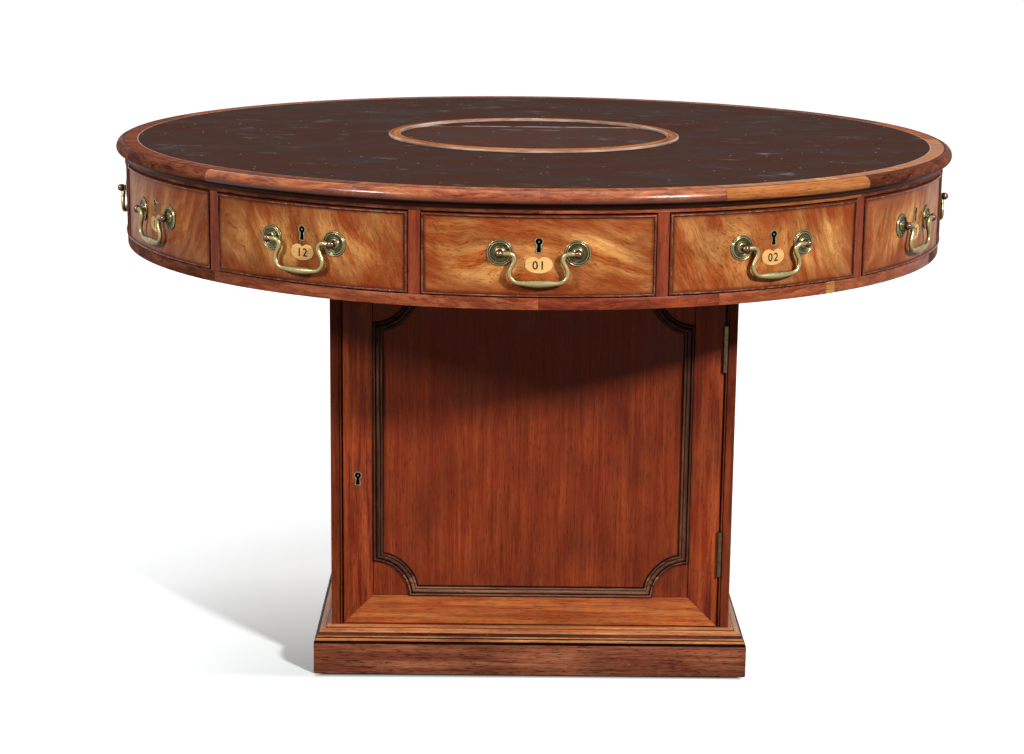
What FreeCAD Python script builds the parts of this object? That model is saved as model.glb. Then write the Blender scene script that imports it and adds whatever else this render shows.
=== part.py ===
import FreeCAD, Part
import math
import os
import re

import Sketcher

# Revolving drum-top rent table: a round leather-lined top over a frieze of
# wedge-shaped drawers, turning on a square cupboard pedestal.
# Millimetres. Origin: middle of the footprint, on the floor. +Z up, front -Y.

Vector = FreeCAD.Vector
Rotation = FreeCAD.Rotation
Placement = FreeCAD.Placement

doc = FreeCAD.newDocument("RentTable")

# ---------------------------------------------------------------- dimensions

SIZES = {
    # pedestal
    "pedestal_half": 294, "pedestal_height": 604.5, "side_thickness": 16,
    "carcase_board": 20, "top_carcase_board": 18, "back_thickness": 14,
    "floor_level": 70, "shelf_level": 330, "shelf_thickness": 16,
    "shelf_setback": 40, "running_gap": 0.3,
    "plinth_overhang": 25, "plinth_height": 47.5,
    "plinth_bead": 7, "plinth_ovolo": 11.5, "plinth_fillet": 2.7,
    # door
    "door_gap": 2.5, "door_lift": 1, "door_thickness": 22, "door_top_drop": 1.5,
    "mould_margin": 43, "mould_top_margin": 25, "mould_width": 16,
    "corner_radius": 53, "mould_base": 2.4, "mould_reed": 5.2, "mould_rise": 7.5,
    "panel_setback": 1,
    "hinge_height": 68, "hinge_from_edge": 78, "knuckle_radius": 3.2,
    "hinge_pin_radius": 1.4, "hinge_leaf": 1, "hinge_depth": 20, "pin_clearance": 0.05,
    "lock_height": 221, "lock_inset": 21.2, "lock_width": 42, "lock_tall": 64,
    "lock_depth": 9, "plate_tall": 22.4, "plate_wide": 11, "plate_thickness": 1.2,
    "keyhole_radius": 1.8,
    # drum
    "turning_gap": 3, "face_radius": 621, "base_thickness": 16,
    "drawer_space": 109.5, "rail_height": 11, "rail_width": 31,
    "drawer_count": 12, "divider_thickness": 16,
    "top_board": 17.5, "leather_thickness": 1.5, "top_overhang": 14,
    "edge_width": 12, "nose_drop": 12, "band_width": 21,
    "cove_drop": 4.5, "cove_edge": 1.5, "cove_radius": 8.5,
    "spindle_radius": 20, "spindle_depth": 34, "nut_radius": 34, "nut_height": 9,
    "bearing_inner": 110, "bearing_outer": 150,
    # well
    "well_radius": 205.5, "rim_width": 18, "rim_rise": 4, "ledge_width": 8,
    "ledge_thickness": 6.5, "well_wall": 10, "well_floor": 8, "floor_lift": 17,
    "lid_gap": 0.8, "lid_edge": 6, "hinge_line": 115, "hinge_half": 165,
    "lid_corner_angle": 26, "lid_corner": 9, "corner_clearance": 2.5,
    "lid_pin_radius": 2.5, "lid_pin_reach": 10,
    # drawers
    "drawer_side_gap": 1.2, "drawer_top_gap": 2.2, "front_edge": 12,
    "bead_width": 3.2, "bead_rise": 2, "drawer_side": 9, "side_drop": 6,
    "drawer_back": 8, "back_gap": 6, "bottom_board": 5, "bottom_lift": 5,
    # drawer furniture
    "handle_spread": 50, "handle_height": 58.5, "rosette_radius": 17,
    "rosette_edge": 1.2, "rosette_ring": 2.8, "post_radius": 3.2, "post_reach": 10.5,
    "ball_radius": 5.6, "bail_wire": 2.8, "bail_shoulder": 14,
    "neck_bend": 5, "bail_inner": 19, "bail_outer": 13.2, "bail_waist": 23.8,
    "bail_corner": 14.2, "grip_radius": 5.4, "grip_half": 23.2,
    "keyhole_height": 68.5, "tag_height": 43, "tag_wide": 36.5, "tag_tall": 21,
}

sheet = doc.addObject("Spreadsheet::Sheet", "Sizes")
for row, (alias, number) in enumerate(SIZES.items(), start=1):
    sheet.set("A%d" % row, alias)
    sheet.set("B%d" % row, str(number))
    sheet.setAlias("B%d" % row, alias)
doc.recompute()


def bound(expression):
    """Writes the names of an expression as cells of the sheet."""
    text = re.sub(r"[a-z][a-z_]*", lambda m: "Sizes." + m.group(0)
                  if m.group(0) in SIZES else m.group(0), str(expression))
    return text


def value(expression):
    """Works out an expression in millimetres or degrees."""
    return float(sheet.evalExpression(bound(expression)))


# levels and distances that several pieces share
PLINTH_HALF = "(pedestal_half + plinth_overhang)"
DRUM_BOTTOM = "(pedestal_height + turning_gap)"
BASE_TOP = "(%s + base_thickness)" % DRUM_BOTTOM
RAIL_BOTTOM = "(%s + drawer_space)" % BASE_TOP
BOARD_BOTTOM = "(%s + rail_height)" % RAIL_BOTTOM
BOARD_TOP = "(%s + top_board)" % BOARD_BOTTOM
TABLE_TOP = "(%s + leather_thickness)" % BOARD_TOP
TOP_RADIUS = "(face_radius + top_overhang)"
BOARD_RADIUS = "(%s - edge_width)" % TOP_RADIUS
LEATHER_RADIUS = "(%s - band_width)" % BOARD_RADIUS
RIM_RADIUS = "(well_radius + rim_width)"
WALL_INNER = "(well_radius + 1.5)"
WALL_OUTER = "(%s + well_wall)" % WALL_INNER
HALF_PITCH = "(180 / drawer_count)"
DRAWER_BOTTOM = "(%s + running_gap)" % BASE_TOP
DRAWER_TOP = "(%s - drawer_top_gap)" % RAIL_BOTTOM
DRAWER_SLOT = "(divider_thickness / 2 + drawer_side_gap)"
FRONT_INNER = "(face_radius * cos(%s) - front_edge)" % HALF_PITCH
DRAWER_INNER = "(%s + back_gap)" % WALL_OUTER
DOOR_HALF = "(pedestal_half - side_thickness - door_gap)"
DOOR_BOTTOM = "(floor_level + door_lift)"
DOOR_TOP = "(pedestal_height - door_top_drop)"
HINGE_X = "(pedestal_half - side_thickness - door_gap / 2)"
HINGE_Y = "(pedestal_half + knuckle_radius + running_gap)"


# ------------------------------------------------------------------- helpers

def new_body(label):
    body = doc.addObject("PartDesign::Body", label)
    body.Label = label
    return body


def origin_plane(body, role):
    return [part for part in body.Origin.OriginFeatures if part.Role == role][0]


def new_sketch(body, role, offset=None, shift=None):
    """An empty sketch on an origin plane, moved along its normal and up."""
    sketch = body.newObject("Sketcher::SketchObject", body.Label + "_sketch")
    sketch.AttachmentSupport = [(origin_plane(body, role), "")]
    sketch.MapMode = "FlatFace"
    if offset is not None:
        sketch.setExpression("AttachmentOffset.Base.z", bound(offset))
    if shift is not None:
        sketch.setExpression("AttachmentOffset.Base.y", bound(shift))
    return sketch


def arc_between(start, end, radius, major=False):
    """Arc from start to end; positive radius turns left, negative right."""
    half = (end - start) * 0.5
    reach = math.sqrt(max(radius * radius - half.Length ** 2, 0.0))
    left = Vector(-half.y, half.x, 0).normalize() * (1 if radius > 0 else -1)
    centre = start + half + left * (-reach if major else reach)
    middle = centre - left * abs(radius)
    return Part.Arc(start, middle, end)


def constrain_point(sketch, geometry, position, x, y):
    for kind, expression in (("DistanceX", x), ("DistanceY", y)):
        number = value(expression)
        index = sketch.addConstraint(
            Sketcher.Constraint(kind, -1, 1, geometry, position, number))
        sketch.setExpression("Constraints[%d]" % index, bound(expression))


def draw_loop(sketch, corners):
    """Closed outline. A corner is (x, y) or (x, y, radius[, "major"]), where
    the radius belongs to the edge that leaves the corner."""
    first = sketch.GeometryCount
    points = [Vector(value(c[0]), value(c[1]), 0) for c in corners]
    count = len(corners)
    for i, corner in enumerate(corners):
        start, end = points[i], points[(i + 1) % count]
        if len(corner) > 2:
            edge = arc_between(start, end, value(corner[2]), "major" in corner[3:])
        else:
            edge = Part.LineSegment(start, end)
        sketch.addGeometry(edge, False)

    def end_at(geometry, point):
        ends = [(sketch.getPoint(geometry, p) - point).Length for p in (1, 2)]
        return 1 if ends[0] < ends[1] else 2

    for i, corner in enumerate(corners):
        here, before = first + i, first + (i - 1) % count
        mine = end_at(here, points[i])
        sketch.addConstraint(Sketcher.Constraint(
            "Coincident", here, mine, before, end_at(before, points[i])))
        constrain_point(sketch, here, mine, corner[0], corner[1])
        if len(corner) > 2:
            index = sketch.addConstraint(Sketcher.Constraint(
                "Radius", here, abs(value(corner[2]))))
            sketch.setExpression("Constraints[%d]" % index,
                                 "abs(%s)" % bound(corner[2]))


def draw_circle(sketch, radius, x="0", y="0"):
    circle = sketch.addGeometry(Part.Circle(
        Vector(value(x), value(y), 0), Vector(0, 0, 1), value(radius)), False)
    constrain_point(sketch, circle, 3, x, y)
    index = sketch.addConstraint(Sketcher.Constraint("Radius", circle, value(radius)))
    sketch.setExpression("Constraints[%d]" % index, bound(radius))


def rectangle(x0, y0, x1, y1):
    return [(x0, y0), (x1, y0), (x1, y1), (x0, y1)]


def pad(body, sketch, length, both=False):
    feature = body.newObject("PartDesign::Pad", body.Label + "_pad")
    feature.Profile = sketch
    feature.setExpression("Length", bound(length))
    feature.Midplane = both
    return feature


def pocket(body, sketch, length, reverse=False, both=False):
    feature = body.newObject("PartDesign::Pocket", body.Label + "_pocket")
    feature.Profile = sketch
    feature.setExpression("Length", bound(length))
    feature.Reversed = reverse
    feature.Midplane = both
    return feature


def revolve(body, sketch, axis="V_Axis"):
    feature = body.newObject("PartDesign::Revolution", body.Label + "_revolution")
    feature.Profile = sketch
    feature.ReferenceAxis = (sketch, [axis])
    feature.Angle = 360
    return feature


def plate(label, loops, bottom, height, role="XY_Plane", both=False):
    """A body padded from one sketch of closed loops."""
    body = new_body(label)
    sketch = new_sketch(body, role, bottom)
    for loop in loops:
        draw_loop(sketch, loop)
    pad(body, sketch, height, both)
    return body


def turned(label, corners):
    """A body turned about the vertical axis from a (radius, height) outline."""
    body = new_body(label)
    sketch = new_sketch(body, "XZ_Plane")
    draw_loop(sketch, corners)
    revolve(body, sketch)
    return body


def group(label, members):
    """Several separate solids carried together."""
    compound = doc.addObject("Part::Compound", label)
    compound.Label = label
    compound.Links = members
    return compound


def turned_copy(label, source, degrees):
    """The same piece again, turned about the vertical axis."""
    copy = doc.addObject("Part::Compound", label)
    copy.Label = label
    copy.Links = [source]
    copy.setExpression("Placement.Rotation.Angle", bound(degrees))
    return copy


def cylinder(label, radius, height, x="0", y="0", z="0", along="Z"):
    item = doc.addObject("Part::Cylinder", label)
    item.Label = label
    item.setExpression("Radius", bound(radius))
    item.setExpression("Height", bound(height))
    if along == "X":
        item.Placement = Placement(Vector(0, 0, 0), Rotation(Vector(0, 1, 0), 90))
    elif along == "Y":
        item.Placement = Placement(Vector(0, 0, 0), Rotation(Vector(1, 0, 0), 90))
    for axis, place in zip("xyz", (x, y, z)):
        item.setExpression("Placement.Base." + axis, bound(place))
    return item


def box(label, low, high):
    item = doc.addObject("Part::Box", label)
    item.Label = label
    for side, axis, a, b in zip(("Length", "Width", "Height"), "xyz", low, high):
        item.setExpression(side, "(%s) - (%s)" % (bound(b), bound(a)))
        item.setExpression("Placement.Base." + axis, bound(a))
    return item


def cut(label, base, tool):
    item = doc.addObject("Part::Cut", label)
    item.Label = label
    item.Base, item.Tool = base, tool
    return item


def common(label, base, tool):
    item = doc.addObject("Part::Common", label)
    item.Label = label
    item.Base, item.Tool = base, tool
    return item


def fuse(label, members):
    item = doc.addObject("Part::MultiFuse", label)
    item.Label = label
    item.Shapes = members
    return item


nodes = []


def node(item, label=None):
    if label:
        item.Label = label
    nodes.append(item)
    return item


# ------------------------------------------------------------------ pedestal

def mitred(inner, outer):
    """Plan of one of four boards that meet in mitres round a square."""
    return [("-" + inner, "-" + inner), ("-" + outer, "-" + outer),
            (outer, "-" + outer), (inner, "-" + inner)]


plinth_board = plate("plinth_board", [mitred("pedestal_half", PLINTH_HALF)],
                     "0", "plinth_height")
node(group("plinth_base", [turned_copy("plinth_board_%d" % i, plinth_board, "%d" % (90 * i))
                           for i in range(4)]))

# bead, ovolo and fillet of the plinth moulding, run square and then mitred
moulding = new_body("plinth_moulding_run")
profile = new_sketch(moulding, "YZ_Plane")
bead_top = "(plinth_height + plinth_bead)"
ovolo_top = "(%s + plinth_ovolo)" % bead_top
ovolo_half = "(pedestal_half + plinth_overhang * 0.86)"
fillet_half = "(pedestal_half + plinth_overhang * 0.28)"
ovolo_in = "(pedestal_half + plinth_overhang * 0.34)"
ovolo_chord = "sqrt((%s - %s)^2 + (plinth_ovolo - 1)^2)" % (ovolo_half, ovolo_in)
bead_half = "(pedestal_half + plinth_overhang * 0.892)"
draw_loop(profile, [
    ("-pedestal_half", "plinth_height"), ("-pedestal_half", ovolo_top + " + plinth_fillet"),
    ("-" + fillet_half, ovolo_top + " + plinth_fillet"), ("-" + fillet_half, ovolo_top),
    ("-" + ovolo_in, ovolo_top, ovolo_chord + " * 0.723"),
    ("-" + ovolo_half, bead_top + " + 1"), ("-" + ovolo_half, bead_top),
    ("-" + bead_half, bead_top, "plinth_bead * 0.52"),
    ("-" + bead_half, "plinth_height")])
pad(moulding, profile, "2 * " + PLINTH_HALF, both=True)
for name, sign in (("left", "-"), ("right", "")):
    mitre = new_sketch(moulding, "XY_Plane", "plinth_height")
    draw_loop(mitre, [(sign + "pedestal_half", "-pedestal_half"),
                      (sign + "(%s + 2)" % PLINTH_HALF, "-(%s + 2)" % PLINTH_HALF),
                      (sign + "(%s + 2)" % PLINTH_HALF, "-pedestal_half")])
    pocket(moulding, mitre, "2 * (plinth_bead + plinth_ovolo + plinth_fillet)", reverse=True)
node(group("plinth_moulding", [turned_copy("moulding_run_%d" % i, moulding, "%d" % (90 * i))
                               for i in range(4)]))

inner_half = "(pedestal_half - side_thickness)"
side_panel = plate("side_panel", [rectangle(inner_half, "-pedestal_half",
                                            "pedestal_half", "pedestal_half")],
                   "0", "pedestal_height")
node(group("carcase_sides", [side_panel, turned_copy("side_panel_left", side_panel, "180")]))

node(plate("carcase_back", [rectangle("-" + inner_half, "pedestal_half - back_thickness",
                                      inner_half, "pedestal_half")],
           "0", "pedestal_height"))

back_face = "(pedestal_half - back_thickness)"
bottom = plate("cupboard_bottom", [rectangle("-" + inner_half, "-pedestal_half",
                                             inner_half, back_face)],
               "floor_level - carcase_board", "carcase_board")
shelf = plate("cupboard_shelf",
              [rectangle("-" + inner_half, "-(pedestal_half - door_thickness - shelf_setback)",
                         inner_half, back_face)],
              "shelf_level", "shelf_thickness")
top_panel = new_body("cupboard_top")
top_sketch = new_sketch(top_panel, "XY_Plane", "pedestal_height - top_carcase_board")
draw_loop(top_sketch, rectangle("-" + inner_half,
                                "-(pedestal_half - door_thickness - running_gap)",
                                inner_half, back_face))
draw_circle(top_sketch, "spindle_radius")
pad(top_panel, top_sketch, "top_carcase_board")
node(group("carcase_boards", [bottom, shelf, top_panel]))

# iron spindle with its nut above the drum's base, and the brass bearing ring
spindle = turned("spindle", [
    ("0", "pedestal_height - spindle_depth"),
    ("spindle_radius", "pedestal_height - spindle_depth"),
    ("spindle_radius", DRAWER_BOTTOM),
    ("nut_radius", DRAWER_BOTTOM),
    ("nut_radius", DRAWER_BOTTOM + " + nut_height"),
    ("0", DRAWER_BOTTOM + " + nut_height")])
bearing = turned("bearing_ring", [
    ("bearing_inner", "pedestal_height"), ("bearing_outer", "pedestal_height"),
    ("bearing_outer", DRUM_BOTTOM + " - running_gap"),
    ("bearing_inner", DRUM_BOTTOM + " - running_gap")])
node(group("turning_pivot", [spindle, bearing]))


# ---------------------------------------------------------------------- door

mould_left = "(%s - mould_margin)" % DOOR_HALF
mould_bottom = "(%s + mould_margin)" % DOOR_BOTTOM
mould_top = "(%s - mould_top_margin)" % DOOR_TOP


def reentrant(inset):
    """Outline of the door panel with hollow corners, drawn in by an inset."""
    x = "(%s - %s)" % (mould_left, inset)
    low, high = "(%s + %s)" % (mould_bottom, inset), "(%s - %s)" % (mould_top, inset)
    radius = "(corner_radius + %s)" % inset
    reach = "sqrt(%s * %s - %s * %s)" % (radius, radius, inset, inset)
    side_low, side_high = "(%s + %s)" % (mould_bottom, reach), "(%s - %s)" % (mould_top, reach)
    across = "(%s - %s)" % (mould_left, reach)
    hollow = "-" + radius
    return [("-" + across, low), (across, low, hollow), (x, side_low), (x, side_high, hollow),
            (across, high), ("-" + across, high, hollow), ("-" + x, side_high),
            ("-" + x, side_low, hollow)]


# four mitred frame members round the panel
x_out, x_in = DOOR_HALF, mould_left
z_low, z_low_in = DOOR_BOTTOM, mould_bottom
z_high, z_high_in = DOOR_TOP, mould_top
door_back = "(pedestal_half - door_thickness)"
stile = plate("door_stile", [[(x_in, z_low_in), (x_out, z_low), (x_out, z_high),
                              (x_in, z_high_in)]], door_back, "door_thickness", "XZ_Plane")
stile_left = plate("door_stile_left", [[("-" + x_in, z_low_in), ("-" + x_out, z_low),
                                        ("-" + x_out, z_high), ("-" + x_in, z_high_in)]],
                   door_back, "door_thickness", "XZ_Plane")
rail_low = plate("door_rail_low", [[("-" + x_in, z_low_in), ("-" + x_out, z_low),
                                    (x_out, z_low), (x_in, z_low_in)]],
                 door_back, "door_thickness", "XZ_Plane")
rail_high = plate("door_rail_high", [[("-" + x_in, z_high_in), ("-" + x_out, z_high),
                                      (x_out, z_high), (x_in, z_high_in)]],
                  door_back, "door_thickness", "XZ_Plane")
node(group("door_frame", [stile, stile_left, rail_low, rail_high]))
node(plate("door_panel", [rectangle("-" + x_in, z_low_in, x_in, z_high_in)],
           door_back, "door_thickness - panel_setback", "XZ_Plane"))

# reeded moulding with hollow corners, planted along the panel's edge
door_moulding = new_body("door_moulding")
for start, stop, rise in (("0", "mould_width", "mould_base"),
                          ("mould_width * 0.1", "mould_width * 0.38", "mould_reed"),
                          ("mould_width * 0.5", "mould_width * 0.85", "mould_rise")):
    ring = new_sketch(door_moulding, "XZ_Plane", "pedestal_half")
    draw_loop(ring, reentrant("(%s)" % start))
    draw_loop(ring, reentrant("(%s)" % stop))
    pad(door_moulding, ring, rise)
foot = new_sketch(door_moulding, "XZ_Plane", "pedestal_half - panel_setback")
draw_loop(foot, reentrant("0"))
draw_loop(foot, reentrant("mould_width"))
pad(door_moulding, foot, "panel_setback")
node(door_moulding)

lock_x = "-(%s - lock_inset)" % DOOR_HALF
lock_z = "(%s + lock_height)" % DOOR_BOTTOM


def draw_key_plate(sketch, x, z):
    """A key plate with a round head, a waist and a flared foot, and its hole."""
    head = "(%s + plate_tall * 0.263)" % z
    for radius, waist, foot, low, curve in (
            ("plate_wide * 0.482", "plate_wide * 0.27", "plate_wide * 0.4",
             "plate_tall * 0.384", "plate_wide * 0.455"),
            ("keyhole_radius", "keyhole_radius * 0.5", "keyhole_radius * 0.7",
             "plate_tall * 0.27", "keyhole_radius * 2")):
        neck = "%s - sqrt((%s)^2 - (%s)^2)" % (head, radius, waist)
        draw_loop(sketch, [
            ("%s + %s" % (x, waist), neck, radius, "major"),
            ("%s - %s" % (x, waist), neck),
            ("%s - %s" % (x, foot), "%s - %s" % (z, low), curve),
            ("%s + %s" % (x, foot), "%s - %s" % (z, low))])


def key_plate(label, x, z, front):
    """Key plate padded from a flat face."""
    body = new_body(label)
    outline = new_sketch(body, "XZ_Plane", front)
    draw_key_plate(outline, x, z)
    pad(body, outline, "plate_thickness")
    return body


door_plate = key_plate("door_key_plate", lock_x, lock_z, "pedestal_half")
lock_case = box("door_lock_case",
                (DOOR_HALF + " * -1 + 3", "-" + door_back, lock_z + " - lock_tall / 2"),
                (DOOR_HALF + " * -1 + 3 + lock_width", "-(%s - lock_depth)" % door_back,
                 lock_z + " + lock_tall / 2"))
node(group("door_lock", [door_plate, lock_case]))

# two butt hinges: the middle knuckle is the door's, the outer two the side's
hinge_low = "(%s + hinge_from_edge)" % DOOR_BOTTOM
hinge_high = "(%s - hinge_from_edge - hinge_height)" % DOOR_TOP
door_leaves, side_leaves = [], []
for name, foot_z in (("low", hinge_low), ("high", hinge_high)):
    third = "hinge_height / 3"
    leaf_back = "-(pedestal_half - hinge_depth)"
    tab_front = "-(pedestal_half + running_gap + 1)"

    def knuckle(label, low, high):
        return cylinder(label, "knuckle_radius", "(%s) - (%s)" % (high, low),
                        HINGE_X, "-" + HINGE_Y, low)

    def leaf(label, x0, x1, spans):
        members = [box(label + "_leaf", (x0, "-pedestal_half", foot_z),
                       (x1, leaf_back, foot_z + " + hinge_height"))]
        for i, (low, high) in enumerate(spans):
            members.append(knuckle("%s_knuckle_%d" % (label, i), low, high))
            members.append(box("%s_tab_%d" % (label, i), (x0, tab_front, low),
                               (x1, "-pedestal_half", high)))
        return fuse(label + "_solid", members)

    middle = [("%s + %s + running_gap" % (foot_z, third),
               "%s + 2 * %s - running_gap" % (foot_z, third))]
    outer = [(foot_z, "%s + %s" % (foot_z, third)),
             ("%s + 2 * %s" % (foot_z, third), foot_z + " + hinge_height")]
    pin = cylinder("hinge_pin_" + name, "hinge_pin_radius", "hinge_height",
                   HINGE_X, "-" + HINGE_Y, foot_z)
    bore = cylinder("hinge_bore_" + name, "hinge_pin_radius + pin_clearance", "hinge_height",
                    HINGE_X, "-" + HINGE_Y, foot_z)
    door_leaf = leaf("door_hinge_" + name, DOOR_HALF, DOOR_HALF + " + hinge_leaf", middle)
    door_leaves.append(cut("door_hinge_bored_" + name, door_leaf, bore))
    side_leaf = leaf("side_hinge_" + name, inner_half + " - hinge_leaf", inner_half, outer)
    side_leaves.append(fuse("side_hinge_pinned_" + name, [side_leaf, pin]))
node(group("door_hinge_leaves", door_leaves))
node(group("side_hinge_leaves", side_leaves))


# ---------------------------------------------------------------------- drum

node(turned("drum_base", [
    ("spindle_radius + pin_clearance", DRUM_BOTTOM), ("face_radius", DRUM_BOTTOM),
    ("face_radius", BASE_TOP), ("spindle_radius + pin_clearance", BASE_TOP)]))

divider = new_body("divider")
divider_sketch = new_sketch(divider, "YZ_Plane")
divider_in = "-(%s / cos(%s))" % (WALL_OUTER, HALF_PITCH)
notch = "(face_radius - rail_width - running_gap)"
draw_loop(divider_sketch, [
    (divider_in, BASE_TOP), ("-face_radius + 0.2", BASE_TOP), ("-face_radius + 0.2", RAIL_BOTTOM),
    ("-" + notch, RAIL_BOTTOM), ("-" + notch, BOARD_BOTTOM),
    (divider_in, BOARD_BOTTOM)])
pad(divider, divider_sketch, "divider_thickness", both=True)
drawer_count = int(SIZES["drawer_count"])
pitch = "360 / drawer_count"
node(group("drum_dividers", [
    turned_copy("divider_%02d" % (i + 1), divider, "%s * %d + %s" % (pitch, i, HALF_PITCH))
    for i in range(drawer_count)]))

node(turned("drum_top_rail", [
    ("face_radius - rail_width", RAIL_BOTTOM), ("face_radius", RAIL_BOTTOM),
    ("face_radius", BOARD_BOTTOM), ("face_radius - rail_width", BOARD_BOTTOM)]))

# the top: a round board with a D-shaped mouth over the well
hinge_z = "(%s - lid_edge)" % TABLE_TOP
lid_radius = "(well_radius - lid_gap)"
snip_x = "(%s * cos(lid_corner_angle))" % lid_radius
snip_y = "(%s * sin(lid_corner_angle))" % lid_radius
mouth_chord = "(hinge_line + lid_edge + running_gap)"
mouth_x = "(hinge_half + corner_clearance)"
mouth_y = "(hinge_line - lid_corner + 1)"
mouth_snip = "(lid_corner_angle + 1.2)"
mouth_outline = [
    ("-" + mouth_x, mouth_chord), ("-" + mouth_x, mouth_y),
    ("-well_radius * cos(%s)" % mouth_snip, "well_radius * sin(%s)" % mouth_snip,
     "well_radius", "major"),
    ("well_radius * cos(%s)" % mouth_snip, "well_radius * sin(%s)" % mouth_snip),
    (mouth_x, mouth_y), (mouth_x, mouth_chord)]
ledge_radius = "(well_radius - ledge_width)"
ledge_chord = "(hinge_line - ledge_width)"
ledge_x = "sqrt(%s * %s - %s * %s)" % (ledge_radius, ledge_radius, ledge_chord, ledge_chord)
top_body = new_body("top_board")
disc = new_sketch(top_body, "XY_Plane", BOARD_BOTTOM)
draw_circle(disc, BOARD_RADIUS)
draw_loop(disc, [("-" + ledge_x, ledge_chord, ledge_radius, "major"), (ledge_x, ledge_chord)])
pad(top_body, disc, "top_board")
rebate = new_sketch(top_body, "XY_Plane", BOARD_TOP)
draw_loop(rebate, mouth_outline)
pocket(top_body, rebate, "top_board - ledge_thickness")
pin_bores = new_sketch(top_body, "YZ_Plane")
draw_circle(pin_bores, "lid_pin_radius + pin_clearance", "hinge_line", hinge_z)
pocket(top_body, pin_bores, "2 * (%s + lid_pin_reach)" % mouth_x, both=True)
node(top_body)

# a round nose over a small cove that runs back to the rail
node(turned("top_edge_moulding", [
    (BOARD_RADIUS, BOARD_BOTTOM), ("face_radius", BOARD_BOTTOM),
    ("face_radius", BOARD_BOTTOM + " - cove_drop"),
    ("face_radius + cove_edge", BOARD_BOTTOM + " - cove_drop", "-cove_radius"),
    (TOP_RADIUS + " - edge_width * 0.36", BOARD_BOTTOM + " + 2"),
    (TOP_RADIUS + " - edge_width * 0.28", BOARD_BOTTOM + " + 2.6", "4"),
    (TOP_RADIUS, TABLE_TOP + " - nose_drop", "13.5"),
    (BOARD_RADIUS + " + edge_width * 0.3", TABLE_TOP), (BOARD_RADIUS, TABLE_TOP)]))
node(turned("top_banding", [
    (LEATHER_RADIUS, BOARD_TOP), (BOARD_RADIUS, BOARD_TOP),
    (BOARD_RADIUS, TABLE_TOP), (LEATHER_RADIUS, TABLE_TOP)]))

leather_ring = turned("leather_ring", [
    (RIM_RADIUS, BOARD_TOP), (LEATHER_RADIUS, BOARD_TOP),
    (LEATHER_RADIUS, TABLE_TOP), (RIM_RADIUS, TABLE_TOP)])
segment_x = "sqrt(well_radius * well_radius - %s * %s)" % (mouth_chord, mouth_chord)
leather_segment = plate("leather_segment", [[
    (segment_x, mouth_chord, "well_radius"), ("-" + segment_x, mouth_chord)]],
    BOARD_TOP, "leather_thickness")
node(group("top_leather", [leather_ring, leather_segment]))

bead = "rim_width * 0.12"
node(turned("well_rim", [
    ("well_radius", BOARD_TOP), (RIM_RADIUS, BOARD_TOP),
    (RIM_RADIUS, TABLE_TOP + " + rim_rise * 0.7"),
    (RIM_RADIUS + " - " + bead, TABLE_TOP + " + rim_rise"),
    (RIM_RADIUS + " - 2 * " + bead, TABLE_TOP + " + rim_rise * 0.6"),
    ("well_radius + 2 * " + bead, TABLE_TOP + " + rim_rise * 0.6"),
    ("well_radius + " + bead, TABLE_TOP + " + rim_rise"),
    ("well_radius", TABLE_TOP + " + rim_rise * 0.7")]))

# coopered well: one stave behind each drawer, and a floor that fits them
tangent = "tan(%s)" % HALF_PITCH
stave = plate("stave", [[
    ("-%s * %s" % (WALL_INNER, tangent), "-" + WALL_INNER),
    ("-%s * %s" % (WALL_OUTER, tangent), "-" + WALL_OUTER),
    ("%s * %s" % (WALL_OUTER, tangent), "-" + WALL_OUTER),
    ("%s * %s" % (WALL_INNER, tangent), "-" + WALL_INNER)]], BASE_TOP, "drawer_space + rail_height")
staves = [turned_copy("stave_%02d" % (i + 1), stave, "%s * %d" % (pitch, i))
          for i in range(drawer_count)]
corner = "(%s / cos(%s))" % (WALL_INNER, HALF_PITCH)
floor = plate("well_floor_board", [[
    ("%s * cos(%s * %d - %s)" % (corner, pitch, i, HALF_PITCH),
     "%s * sin(%s * %d - %s)" % (corner, pitch, i, HALF_PITCH))
    for i in range(drawer_count)]], BASE_TOP + " + floor_lift", "well_floor")
node(group("well_box", staves + [floor]))

# lid with a full-round back edge that turns on two centre pins
lid = new_body("lid_board")
lid_plan = new_sketch(lid, "XY_Plane", "%s - 2 * lid_edge" % TABLE_TOP)
draw_loop(lid_plan, [
    ("-hinge_half", "hinge_line"), ("-hinge_half", "hinge_line - lid_corner"),
    ("-" + snip_x, snip_y, lid_radius, "major"), (snip_x, snip_y),
    ("hinge_half", "hinge_line - lid_corner"), ("hinge_half", "hinge_line")])
pad(lid, lid_plan, "2 * lid_edge - leather_thickness")
round_edge = new_sketch(lid, "YZ_Plane")
draw_circle(round_edge, "lid_edge", "hinge_line", hinge_z)
pad(lid, round_edge, "2 * hinge_half", both=True)
lid_bores = new_sketch(lid, "YZ_Plane")
draw_circle(lid_bores, "lid_pin_radius", "hinge_line", hinge_z)
pocket(lid, lid_bores, "2 * hinge_half + 2", both=True)
node(lid)
node(plate("lid_leather", [[
    ("-hinge_half", "hinge_line - lid_edge"), ("-hinge_half", "hinge_line - lid_corner"),
    ("-" + snip_x, snip_y, lid_radius, "major"), (snip_x, snip_y),
    ("hinge_half", "hinge_line - lid_corner"), ("hinge_half", "hinge_line - lid_edge")]],
    BOARD_TOP, "leather_thickness"))
rod = cylinder("lid_pin_rod", "lid_pin_radius", "2 * (%s + lid_pin_reach - 1)" % mouth_x,
               "-(%s + lid_pin_reach - 1)" % mouth_x, "hinge_line", hinge_z, along="X")
node(rod, "lid_pins")


# ------------------------------------------------------------------- drawers

def wedge(depth, slot):
    """Half width of the drawer's wedge at a distance from the drum's axis."""
    return "(%s * %s - %s / cos(%s))" % (depth, tangent, slot, HALF_PITCH)


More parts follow.
